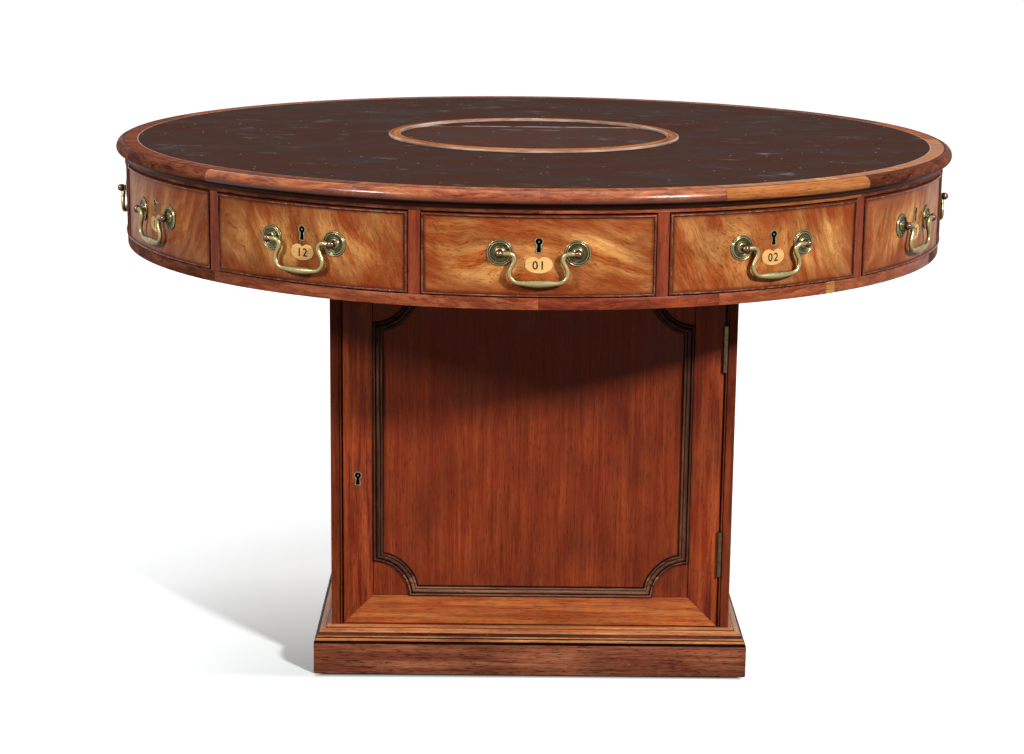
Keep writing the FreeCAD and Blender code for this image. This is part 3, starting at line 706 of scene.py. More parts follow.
@dataclass(frozen=True)
class Wood:
    """Cabinet wood under old shellac or wax: streaks, pores, clouds, dirt and chips.

    Attributes:
        name: the finish's name.
        deep, body, bright: its colours, from the darkest streak to the brightest.
        grain: which way it runs; None where the piece has a grain map.
        figure: how the grain sways.
        streak, length: how wide and how long a streak is, in millimetres.
        blob: how many streaks wide a bright patch is.
        sheen, drift, pores: how strong the bright patches, dark bands and pores are.
        cloud: how strongly handling has clouded it.
        gloss, shine: the shader's roughness and specular level.
        chips, chip_colour: how much polish is chipped off, and what shows there.
        nicks: how many knocks are filled with dirt.
        edge_dirt: how dark a drawer front gets towards its edges.
        foot: the heights from and to which a moulding is darkened with painted shade, in
            millimetres.
    """

    name: str
    deep: str
    body: str
    bright: str
    grain: Grain | None = None
    figure: Figure = Figure.STRAIGHT
    streak: float = 5.0
    length: float = 170.0
    blob: float = 6.0
    sheen: float = 0.75
    drift: float = 0.5
    cloud: float = 0.6
    pores: float = 0.55
    gloss: float = 0.36
    shine: float = 0.12
    chips: float = 0.0
    chip_colour: str = "#e2bfa4"
    nicks: float = 0.0
    edge_dirt: float = 0.0
    foot: Point2 = (0.0, 0.0)

    def spread(self, tree: Tree) -> Source:
        """The coordinates of the log, with the grain along the first axis.

        Args:
            tree: the material's nodes.

        Returns:
            A vector in metres.
        """
        if self.grain is None:
            return add(tree, "UVMap", uv_map="grain")
        where = add(tree, "TexCoord").outputs
        parts = add(tree, "SeparateXYZ", {0: where["Object"]}).outputs
        order = {Grain.X: (0, 1, 2), Grain.Y: (1, 0, 2), Grain.Z: (2, 0, 1)}[self.grain]
        log_place = add(tree, "CombineXYZ", {i: parts[n] for i, n in enumerate(order)})
        # no board stands on end, so faces that look up or down have their grain level
        level = add(tree, "SeparateXYZ", {0: where["Normal"]}).outputs[2]
        level = add(tree, "Math", {0: level}, operation="ABSOLUTE")
        level = add(tree, "Math", {0: level, 1: 0.7}, operation="GREATER_THAN")
        return add(tree, "Mix", {0: level, 4: log_place, 5: where["Object"]}, data_type="VECTOR")

    def sway(self, tree: Tree, place: Source) -> Node:
        """Bends the grain as the figure does.

        Args:
            tree: the material's nodes.
            place: the coordinates of the log.

        Returns:
            The bent coordinates.
        """
        reach, along, across = self.figure.value
        spread = add(tree, "Mapping", {"Vector": place, "Scale": per_mm(along, across)})
        swirl = add(tree, "TexNoise", {"Vector": spread, "Scale": 1.0, "Detail": 3.0,
                                       "Roughness": 0.45}).outputs["Color"]
        bend = add(tree, "VectorMath", {0: swirl, 1: (0.5, 0.5, 0.5)}, operation="SUBTRACT")
        bend = add(tree, "VectorMath", {0: bend, 1: (reach * 2 * MM,) * 3}, operation="MULTIPLY")
        return add(tree, "VectorMath", {0: place, 1: bend})

    def make(self) -> Material:
        """Builds the material.

        Returns:
            The material.
        """
        material, tree, shader = begin(self.name)
        place = self.spread(tree)
        bent = self.sway(tree, place)
        wide = self.streak * self.blob
        tone = patches(tree, bent, per_mm(self.length, self.streak), 0.36, 0.63, detail=6.0,
                       rough=0.62)
        bands = patches(tree, bent, per_mm(self.length * 3, wide * 2), 0.4, 0.66, self.drift,
                        detail=5.0, rough=0.6, shift=(1.7, 4.1, 0.3))
        lit = patches(tree, bent, per_mm(self.figure.value[1] * 0.4, wide), 0.42, 0.66,
                      self.sheen, detail=6.0, rough=0.65, shift=(5.2, 2.6, 1.1))
        # pores are 0.1 mm wide; they are drawn 1.4 mm wide so that they show
        hole = patches(tree, bent, per_mm(13, 1.4), 0.54, 0.7, self.pores, detail=2.0)
        wood: object = colour(self.deep)
        for mask, code in ((tone, self.body), (lit, self.bright), (bands, self.deep),
                           (hole, "#1c0a05")):
            wood = add(tree, "Mix", {0: mask, 6: wood, 7: colour(code)}, data_type="RGBA")
        # handling leaves cloudy patches about 100 mm across
        cloud = patches(tree, place, per_mm(110, 80), 0.3, 0.7, rough=0.6)
        shade = add(tree, "MapRange", {0: cloud, 3: 1 - 0.3 * self.cloud,
                                       4: 1 + 0.15 * self.cloud})
        wood = add(tree, "VectorMath", {0: wood, "Scale": shade}, operation="SCALE")
        if self.edge_dirt:
            wood = self.dirty_edges(tree, wood, cloud)
        # painted shade on the lower part of a moulding
        if self.foot[1]:
            wood = self.dark_foot(tree, wood)
        if self.nicks:
            wood = self.marked(tree, wood, place, self.nicks, "#2a1008", (0.7, 5.3, 0.0))
        if self.chips:
            wood = self.marked(tree, wood, place, self.chips, self.chip_colour, (3.1, 1.7, 0.4))
        rough = add(tree, "MapRange", {0: cloud, 3: self.gloss - 0.07, 4: self.gloss + 0.09})
        bump = add(tree, "Bump", {"Strength": 0.35, "Distance": 0.0003, "Height": hole},
                   invert=True)
        connect(tree, shader, {"Base Color": wood, "Roughness": rough, "Normal": bump,
                               "Specular IOR Level": self.shine})
        return material

    def dirty_edges(self, tree: Tree, wood: Source, cloud: Source) -> Source:
        """Reddens and darkens a front towards its edges, where wax and dirt stay.

        Args:
            tree: the material's nodes.
            wood: the colour so far.
            cloud: a slow mask that makes the dirt uneven.

        Returns:
            The darkened colour.
        """
        board = add(tree, "UVMap", uv_map="board")
        parts = add(tree, "SeparateXYZ", {0: board}).outputs
        uneven = add(tree, "MapRange", {0: cloud, 3: 0.45, 4: 1.25})
        # a wide reddish margin first, then a thin dark one in the corner by the bead
        for code, wide, high, strength in (("#7e2d10", 0.2, 0.42, 0.8),
                                           ("#3a160b", 0.03, 0.085, 1.0)):
            near = []
            for axis, width in ((0, wide), (1, high)):
                off = add(tree, "Math", {0: parts[axis], 1: 0.5}, operation="SUBTRACT")
                off = add(tree, "Math", {0: off}, operation="ABSOLUTE")
                near.append(add(tree, "MapRange", {0: off, 1: 0.5 - width, 2: 0.49},
                                interpolation_type="SMOOTHERSTEP"))
            most = add(tree, "Math", {0: near[0], 1: near[1]}, operation="MAXIMUM")
            dirt = add(tree, "Math", {0: most, 1: uneven}, operation="MULTIPLY")
            dirt = add(tree, "Math", {0: dirt, 1: self.edge_dirt * strength},
                       operation="MULTIPLY", use_clamp=True)
            wood = add(tree, "Mix", {0: dirt, 6: wood, 7: colour(code)}, data_type="RGBA")
        return wood

    def dark_foot(self, tree: Tree, wood: Source) -> Node:
        """Darkens a moulding from one height down to another with painted shade, as under a nose.

        Args:
            tree: the material's nodes.
            wood: the colour so far.

        Returns:
            The darkened colour.
        """
        top, bottom = self.foot
        place = add(tree, "TexCoord").outputs["Object"]
        height = add(tree, "SeparateXYZ", {0: place}).outputs[2]
        low = add(tree, "MapRange", {0: height, 1: top * MM, 2: bottom * MM, 4: 0.85},
                  interpolation_type="SMOOTHSTEP")
        return add(tree, "Mix", {0: low, 6: wood, 7: colour(self.deep)}, data_type="RGBA")

    def marked(self, tree: Tree, wood: Source, place: Source, share: float, code: str,
               shift: Point3) -> Node:
        """Adds small marks in loose groups: chips of old polish, or knocks filled with dirt.

        Args:
            tree: the material's nodes.
            wood: the colour so far.
            place: the coordinates of the log.
            share: how strong and how many the marks are.
            code: their colour.
            shift: moves the groups.

        Returns:
            The marked colour.
        """
        mark = patches(tree, place, per_mm(7, 3), 0.62, 0.7, rough=0.75, shift=shift)
        group = patches(tree, place, per_mm(70, 50), 0.52, 0.7, share, detail=2.0, shift=shift)
        both = add(tree, "Math", {0: mark, 1: group}, operation="MULTIPLY")
        return add(tree, "Mix", {0: both, 6: wood, 7: colour(code)}, data_type="RGBA")


@dataclass(frozen=True)
class Leather:
    """Dyed calf on a table top: near-black brown, rubbed brown in places, with pale scuffs.

    Attributes:
        name: the finish's name.
        dark, rubbed, scuff: the colours of the dye, of rubbed hide and of scuffs.
        roughness: the shader's roughness.
        seam: how far behind the middle a worn seam runs, in metres.
        within: how far from the axis the seam reaches, in metres.
    """

    name: str
    dark: str = "#26120c"
    rubbed: str = "#412010"
    scuff: str = "#a09692"
    roughness: float = 0.5
    seam: float = 0.0
    within: float = 0.2055

    def make(self) -> Material:
        """Builds the material.

        Returns:
            The material.
        """
        material, tree, shader = begin(self.name)
        place = add(tree, "TexCoord").outputs["Object"]
        worn = patches(tree, place, per_mm(150, 110), 0.38, 0.66, detail=9.0, rough=0.74)
        hide = add(tree, "Mix", {0: worn, 6: colour(self.dark), 7: colour(self.rubbed)},
                   data_type="RGBA")
        # scuffs run with the hand that slid over the table
        slid = add(tree, "Mapping", {"Vector": place, "Rotation": (0, 0, 0.25)})
        line = patches(tree, slid, per_mm(60, 12), 0.54, 0.7, detail=8.0, rough=0.8)
        zone = patches(tree, place, per_mm(75, 75), 0.57, 0.66, 0.8, detail=2.0,
                       shift=(1.3, 0.2, 0.0))
        pale = add(tree, "Math", {0: line, 1: zone}, operation="MULTIPLY")
        # specks of paint and bare hide, 3 mm wide and some 28 mm apart
        spread = add(tree, "Mapping", {"Vector": place, "Scale": per_mm(28, 28)})
        dots = add(tree, "TexVoronoi", {"Vector": spread, "Scale": 1.0, "Randomness": 1.0})
        dot = add(tree, "MapRange", {0: dots, 1: 0.075, 2: 0.035})
        pale = add(tree, "Math", {0: pale, 1: dot}, operation="MAXIMUM")
        if self.seam:
            pale = add(tree, "Math", {0: pale, 1: self.worn_seam(tree, place)},
                       operation="MAXIMUM")
        hide = add(tree, "Mix", {0: pale, 6: hide, 7: colour(self.scuff)}, data_type="RGBA")
        rough = add(tree, "MapRange", {0: worn, 3: self.roughness - 0.06,
                                       4: self.roughness + 0.12})
        # the hide's own grain, pebbles about 1.5 mm wide
        spread = add(tree, "Mapping", {"Vector": place, "Scale": per_mm(1.5, 1.5)})
        pebble = add(tree, "TexVoronoi", {"Vector": spread, "Scale": 1.0})
        bump = add(tree, "Bump", {"Strength": 0.15, "Distance": 0.0002, "Height": pebble})
        connect(tree, shader, {"Base Color": hide, "Roughness": rough, "Normal": bump,
                               "Specular IOR Level": 0.005})
        return material

    def worn_seam(self, tree: Tree, place: Source) -> Node:
        """The rubbed edge of the leather where the lid parts from the top.

        Args:
            tree: the material's nodes.
            place: object coordinates.

        Returns:
            A mask, broken along its length.
        """
        across = add(tree, "SeparateXYZ", {0: place}).outputs[1]
        off = add(tree, "Math", {0: across, 1: self.seam}, operation="SUBTRACT")
        off = add(tree, "Math", {0: off}, operation="ABSOLUTE")
        near = add(tree, "MapRange", {0: off, 1: 0.0016, 2: 0.0009})
        flat = add(tree, "VectorMath", {0: place, 1: (1, 1, 0)}, operation="MULTIPLY")
        out = add(tree, "VectorMath", {0: flat}, operation="LENGTH")
        inside = add(tree, "Math", {0: out, 1: self.within}, operation="LESS_THAN")
        broken = patches(tree, place, per_mm(26, 26), 0.36, 0.54)
        both = add(tree, "Math", {0: near, 1: inside}, operation="MULTIPLY")
        return add(tree, "Math", {0: both, 1: broken}, operation="MULTIPLY")


@dataclass(frozen=True)
class Metal:
    """Cast and filed metal that has gone dull: rubbed on top, dark in hollows, with painted shade
    underneath.

    Attributes:
        name: the finish's name.
        bright, tarnish: the colours of rubbed and of tarnished metal.
        roughness, metallic, shine: the shader's roughness, metalness and specular level.
        spots: how large the spots of tarnish are, in millimetres.
        patina: how strong they are.
        underside_shade: how much painted shade there is on what looks down.
    """

    name: str
    bright: str
    tarnish: str
    roughness: float = 0.38
    metallic: float = 1.0
    spots: float = 6.0
    patina: float = 0.8
    underside_shade: float = 0.0
    shine: float = 0.5

    def make(self) -> Material:
        """Builds the material.

        Returns:
            The material.
        """
        material, tree, shader = begin(self.name)
        where = add(tree, "TexCoord").outputs
        film = patches(tree, where["Object"], per_mm(self.spots, self.spots), 0.4, 0.66,
                       self.patina, detail=5.0, rough=0.65)
        up = add(tree, "SeparateXYZ", {0: where["Normal"]}).outputs[2]
        # painted shade: what looks down is darkened towards the tarnish colour
        under = add(tree, "MapRange", {0: up, 1: 0.45, 2: -0.6, 4: self.underside_shade})
        share = add(tree, "Math", {0: film, 1: under}, operation="MAXIMUM")
        skin = add(tree, "Mix", {0: share, 6: colour(self.bright), 7: colour(self.tarnish)},
                   data_type="RGBA")
        rough = add(tree, "MapRange", {0: film, 3: self.roughness - 0.08,
                                       4: self.roughness + 0.14})
        bump = add(tree, "Bump", {"Strength": 0.2, "Distance": 0.0001, "Height": film})
        connect(tree, shader, {"Base Color": skin, "Roughness": rough, "Normal": bump,
                               "Metallic": self.metallic, "Specular IOR Level": self.shine})
        return material


@dataclass(frozen=True)
class Finishes:
    """Every finish of the table, made once."""

    made: dict[str, Material] = field(default_factory=dict)

    def build(self) -> None:
        """Makes all the materials."""
        for finish in (
                # crotch veneer under shellac: plumes of gold and red-brown, darker by the bead
                Wood("mahogany_flame_veneer", "#8a3f18", "#c46c31", "#f8b96c",
                     figure=Figure.FLAME, streak=1.8, length=42, blob=14, sheen=0.85,
                     drift=0.8, cloud=1.0, pores=0.6, chips=0.25, nicks=1.0, edge_dirt=0.9,
                     shine=0.08),
                # scratch-stocked bead, stained dark: a thin red-brown line round each front
                Wood("mahogany_cock_bead", "#2c0d07", "#642a16", "#88401f", gloss=0.3,
                     chips=0.2, chip_colour="#c08a72"),
                # its crown: a pinkish line, partly stain worn off by hands, partly painted
                # highlight
                Wood("mahogany_bead_crown", "#42160c", "#7c3822", "#c4866c", gloss=0.28,
                     streak=1.6, length=40, chips=1.0, chip_colour="#f4e0d4"),
                # solid rounded edge: bright on top; the dark red lower down is painted shade
                Wood("mahogany_nosing", "#541d10", "#ac4e29", "#da8246", streak=2.0,
                     gloss=0.2, shine=0.3, chips=0.4, figure=Figure.MOTTLED,
                     foot=(757.5, 748.0), nicks=0.8, cloud=0.9),
                # hollow moulding under the nose: nearly black, painted shade over some old wax
                Wood("mahogany_cove", "#1c0906", "#3e1a10", "#62301e", gloss=0.4, streak=2.6,
                     shine=0.04),
                # veneer laid across: short radial grain, orange-brown
                Wood("mahogany_crossband", "#8c3612", "#b45a28", "#cc7c42", streak=1.8,
                     length=60, chips=0.2, gloss=0.52, shine=0.01, nicks=0.7, cloud=0.9),
                # darker lengths of it, set towards the sides: partly a darker leaf, partly
                # painted shade
                Wood("mahogany_crossband_dark", "#60281a", "#8c442a", "#aa6444", streak=1.8,
                     length=60, chips=0.2, gloss=0.56, shine=0.005, nicks=0.7, cloud=0.9),
                # thin broken lines of bare wood where two veneers meet
                Wood("worn_joint_line", "#7c5440", "#c9ab96", "#f0e4da", streak=2.4,
                     length=30, pores=0.0, drift=0.7, shine=0.03),
                # old black wax in every corner and joint; in grooves and quirks it is also
                # painted shade
                Wood("wax_in_corners", "#080504", "#150c08", "#2a1a12", gloss=0.5, shine=0.04),
                # purple-brown grime over the polish in a hollow that no duster reaches, with
                # painted shade
                Wood("grimy_hollow", "#2c1410", "#5a2e22", "#864a32", gloss=0.5, streak=1.6,
                     length=40, shine=0.04, nicks=1.0, chips=0.4),
                # drum face: red-brown, mottled, with small chips
                Wood("mahogany_frieze", "#541b0d", "#8a361e", "#b05430", streak=2.0,
                     chips=0.3, nicks=0.8, figure=Figure.MOTTLED, cloud=1.0),
                # lengths of it that are more orange and drier
                Wood("mahogany_frieze_pale", "#63260f", "#a04a2a", "#c4744a", streak=2.0,
                     chips=0.4, nicks=0.8, figure=Figure.MOTTLED, cloud=1.0),
                # darker, dull lengths, mostly at the drum's sides and on the rail under the nose:
                # partly a darker board, partly painted shade
                Wood("mahogany_dark_length", "#38180e", "#783a25", "#a05e44", streak=2.0,
                     chips=0.3, nicks=0.8, figure=Figure.MOTTLED, gloss=0.5, shine=0.01),
                # and from a golden one
                Wood("mahogany_golden_length", "#84441e", "#b8703c", "#d29058", streak=2.0,
                     length=60, chips=0.2, nicks=0.9, gloss=0.42, shine=0.03),
                # small old repairs let in with a paler, golden wood
                Wood("satinwood_repair", "#965a2c", "#bf8446", "#dba864", streak=1.8,
                     length=60, gloss=0.5, shine=0.02, nicks=0.7),
                # arris rubbed down to the bare orange wood
                Wood("mahogany_worn_arris", "#6e3018", "#b2602f", "#dc9a66", streak=1.6,
                     length=60, chips=0.5),
                # ring round the well: orange-brown, dry
                Wood("mahogany_rim", "#7c3a1a", "#b06434", "#d08e54", streak=2.0,
                     chips=0.35, chip_colour="#f2e4d6", gloss=0.5, shine=0.01),
                # stiles: red, close upright grain
                Wood("mahogany_stile", "#601b0c", "#913418", "#b85a2c", streak=1.8,
                     chips=0.1, nicks=0.6, cloud=1.0, length=150, drift=0.4),
                # panel: fine upright grain, hardly any figure
                Wood("mahogany_panel", "#66210e", "#883417", "#a25027", streak=1.7,
                     length=110, gloss=0.42, pores=0.5, cloud=1.0, sheen=0.45, nicks=0.5),
                # rail: golden orange, fine level grain with a little curl
                Wood("mahogany_rail", "#8a3c1b", "#b3562a", "#d68a48", streak=1.8, length=90,
                     chips=0.1, nicks=0.9, cloud=1.0, sheen=0.6),
                # reeds of the door: black-brown hollows in painted shade, crowns paler with
                # painted highlight and a little wear
                Wood("mahogany_reed_hollow", "#0e0705", "#24120c", "#3a2015", gloss=0.4,
                     shine=0.04),
                Wood("mahogany_reed_crown", "#2a150e", "#573223", "#85553f", gloss=0.36,
                     streak=1.4, length=70, chips=0.2, chip_colour="#a8806a", shine=0.05),
                # the lowest run of reeds faces up to the lamps: its crowns are paler still,
                # painted highlight
                Wood("mahogany_reed_worn", "#4e2c20", "#8c5640", "#b98466", gloss=0.34,
                     streak=1.4, length=70, chips=0.3, chip_colour="#d8b49c", shine=0.08),
                # carcase: plain dark red-brown boards
                Wood("mahogany_carcase", "#4a1c0f", "#82351c", "#9f4b28", streak=2.4,
                     chips=0.12, nicks=0.4, length=200, gloss=0.46, shine=0.06),
                # plinth: kicked and dusty, purplish brown, waxed dull
                Wood("mahogany_plinth", "#602c1c", "#96523a", "#ba7650", streak=1.5, length=60,
                     chips=0.5, gloss=0.5, shine=0.06, chip_colour="#c69a80", nicks=1.0,
                     pores=0.9, cloud=1.0, drift=0.6),
                Wood("mahogany_plinth_moulding", "#8a4526", "#c87a4a", "#e8a66c", streak=1.8,
                     length=90, chips=0.3, gloss=0.34, nicks=0.9, cloud=0.8),
                # inner boards, sawn and left unpolished
                Wood("mahogany_boards_along_x", "#42190e", "#74301a", "#8d4324",
                     grain=Grain.X, gloss=0.55),
                Wood("mahogany_boards_along_z", "#42190e", "#74301a", "#8d4324",
                     grain=Grain.Z, gloss=0.5),
                # uprights between the drawers, polished on their front edge
                Wood("mahogany_partition", "#5f2011", "#943c23", "#b05832", grain=Grain.Z,
                     streak=1.8, chips=0.2, nicks=0.4),
                # quartered oak, dry and pale, never polished
                Wood("oak_drawer_lining", "#6f4d2c", "#a07a4c", "#b8935f", streak=2.0,
                     gloss=0.62, pores=0.35, chips=0.1),
                Wood("oak_well_lining", "#6f4d2c", "#a07a4c", "#b8935f", grain=Grain.Z,
                     streak=2.0, gloss=0.62, pores=0.35),
                # boxwood: cream-yellow, hardly any grain
                Wood("boxwood_tag", "#d59c58", "#e8b874", "#f0c886", streak=1.4,
                     gloss=0.45, pores=0.06, cloud=0.25, drift=0.3),
                # calf, dyed black-brown and rubbed; the lid's is a little paler
                Leather("calf_leather", seam=0.1222),
                Leather("calf_leather_lid", "#2e1811", "#502c1c", seam=0.1142),
                # cast brass handles: greyish gold, their olive dark underneath painted shade
                Metal("brass_bail", "#b4a678", "#6a5a34", roughness=0.34, spots=5.0,
                      patina=0.7, underside_shade=0.95),
                Metal("brass_rosette_ring", "#968c6a", "#4c452c", roughness=0.3, spots=3.0,
                      underside_shade=0.6),
                Metal("brass_rosette_dish", "#5e5838", "#2c2816", roughness=0.36, spots=3.0,
                      underside_shade=0.6),
                # bronze ball whose gilding has gone: coppery brown, its dark underside painted
                # shade
                Metal("copper_worn_ball", "#846450", "#30221a", roughness=0.26, patina=0.4,
                      underside_shade=1.0),
                Metal("brass_key_plate", "#9c9272", "#5c5238", roughness=0.36, spots=3.0),
                Metal("steel_key_pin", "#8c807a", "#54504c", roughness=0.34),
                Metal("brass_hinge", "#5c4c3a", "#3c3226", roughness=0.44),
                Metal("iron_black", "#2e2b29", "#171514", roughness=0.5),
                # painted shade: a black sheet stands for the dark inside a keyhole, where no
                # light comes back out
                Metal("keyhole_dark", "#0a0604", "#040302", roughness=0.9, metallic=0.0,
                      shine=0.0),
                Metal("ink", "#36200d", "#201309", roughness=0.7, metallic=0.0, shine=0.1),
        ):
            self.made[finish.name] = finish.make()

    def give(self, piece: Piece, *names: str) -> Piece:
        """Gives a piece its finishes.

        Args:
            piece: the piece.
            names: the finishes, in slot order.

        Returns:
            The same piece.
        """
        for name in names:
            piece.data.materials.append(self.made[name])
        return piece

    def dress(self, piece: Piece, body: str, *names: str, slot: str, node: str = "") -> None:
        """Gives a finished piece its finishes and its place in the frame.

        Args:
            piece: the finished piece.
            body: the moving body it belongs to.
            names: its finishes, in slot order.
            slot: the record's material slot; not used.
            node: the node of the frame it stands for.
        """
        self.give(piece, *names)
        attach(piece, body)
        if node:
            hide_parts(node)
        log.info("%s: %d faces", piece.name, len(piece.data.polygons))


# ------------------------------------------------------------------- the table


@dataclass
class Pedestal:
    """The square cupboard: plinth, plinth moulding and carcase sides."""

    finish: Finishes
    half: float = 294.0
    side: float = 16.0
    height: float = 604.5
    plinth_half: float = 319.0
    plinth_height: float = 47.5
    # heights of the moulding's grooves and hollow, painted dark: wax, grime and painted shade
    wax: tuple[Point2, ...] = ((0.0, 49.6), (54.2, 55.2), (65.8, 66.4))
    grime_and_shade: Point2 = (57.5, 62.5)

    def build(self) -> None:
        """Builds and dresses every piece of the pedestal."""
        self.build_plinth()
        self.build_moulding()
        self.build_sides()

    def four(self, name: str, run: Piece) -> Piece:
        """Stands a run of wood along all four sides.

        Args:
            name: the name of the four together.
            run: the run at the front.

        Returns:
            The joined piece.
        """
        runs = [turned_copy(run, "%s_%d" % (name, i), 90 * i, i) for i in range(1, 4)]
        return join(name, [run] + runs)

    def mitre(self, run: Piece) -> Piece:
        """Cuts both ends of a front run along the square's diagonals."""
        slice_off(run, (0, 0, 0), (1, 1, 0))
        return slice_off(run, (0, 0, 0), (-1, 1, 0))

    def build_plinth(self) -> None:
        """The four plinth boards, with worn lower edges."""
        out = self.plinth_half
        run = slab("plinth_run", (-out, -out, 0), (out, -self.half, self.plinth_height))
        self.mitre(run)
        soften(run, 1.1, 3)
        lay_grain(run, Grain.X, (0.2, 0.1))
        plinth = smooth(self.four("plinth_boards", run))
        # the plinth's top, a dark quirk under the moulding: wax and painted shade
        top = (self.plinth_height - 1.2) * MM
        paint_faces(plinth, lambda face: int(face.center.z > top))
        self.finish.dress(plinth, "pedestal", "mahogany_plinth", "wax_in_corners",
                          node="plinth_base", slot="mahogany")

    def build_moulding(self) -> None:
        """Bead, ovolo and fillet between the plinth and the carcase."""
        half, out = self.half, self.plinth_half
        steps = ((3.2, 47.5), (2.7, 48.6), (2.3, 50.4), (2.5, 52.4), (3.3, 54.0), (4.6, 54.7),
                 (4.6, 55.4), (4.9, 57.4), (6.5, 57.9), (7.3, 59.2), (7.1, 60.6), (7.7, 62.0),
                 (9.7, 63.9), (13.0, 65.3), (16.6, 66.0), (17.6, 66.0), (17.9, 66.5),
                 (17.9, 68.2), (18.4, 68.7))
        profile = [(half, 47.5), *((out - back, z) for back, z in steps), (half, 68.7)]
        run = trace("moulding_run", [(-out, -y, z) for y, z in profile])
        extrude(run, (2 * out, 0, 0))
        self.mitre(run)
        lay_grain(run, Grain.X, (1.3, 0.4))
        moulding = smooth(self.four("plinth_ovolo", run), 28)

        def slot_of(face: Face) -> int:
            """Wax and painted shade in the moulding's corners, grime and painted shade in its
            hollow, polish elsewhere.

            Args:
                face: a face of the piece.

            Returns:
                Its slot number.
            """
            height = face.center.z / MM
            if any(low < height < high for low, high in self.wax):
                return 1
            return 2 if self.grime_and_shade[0] < height < self.grime_and_shade[1] else 0

        paint_faces(moulding, slot_of)
        self.finish.dress(moulding, "pedestal", "mahogany_plinth_moulding", "wax_in_corners",
                          "grimy_hollow", node="plinth_moulding", slot="mahogany")

    def build_sides(self) -> None:
        """Two sides, each with a scratched bead along its front inner edge."""
        near, far = self.half - self.side, self.half
        plan = [(near, 294.0), (near, -293.0), (near + 0.5, -294.0), (near + 1.7, -294.0),
                (near + 2.2, -293.2), (near + 2.2, -291.4), (near + 3.4, -291.4),
                (near + 3.4, -293.6), (near + 3.8, -294.0), (far - 1.0, -294.0),
                (far, -293.0), (far, 293.2), (far - 0.8, 294.0)]
        panels = []
        for sign, name in ((1, "right"), (-1, "left")):
            panel = stand_up("carcase_side_" + name, [(sign * x, y) for x, y in plan], 0,
                             self.height)
            panels.append(lay_grain(panel, Grain.Z, (sign * 0.7, sign * 0.3)))
        sides = smooth(join("pedestal_sides", panels))
        paint_faces(sides, lambda face: int(
            0.3 < abs(face.normal.x) < 0.95 and abs(face.center.x) > (far - 2) * MM))
        self.finish.dress(sides, "pedestal", "mahogany_carcase", "mahogany_worn_arris",
                          node="carcase_sides", slot="mahogany")


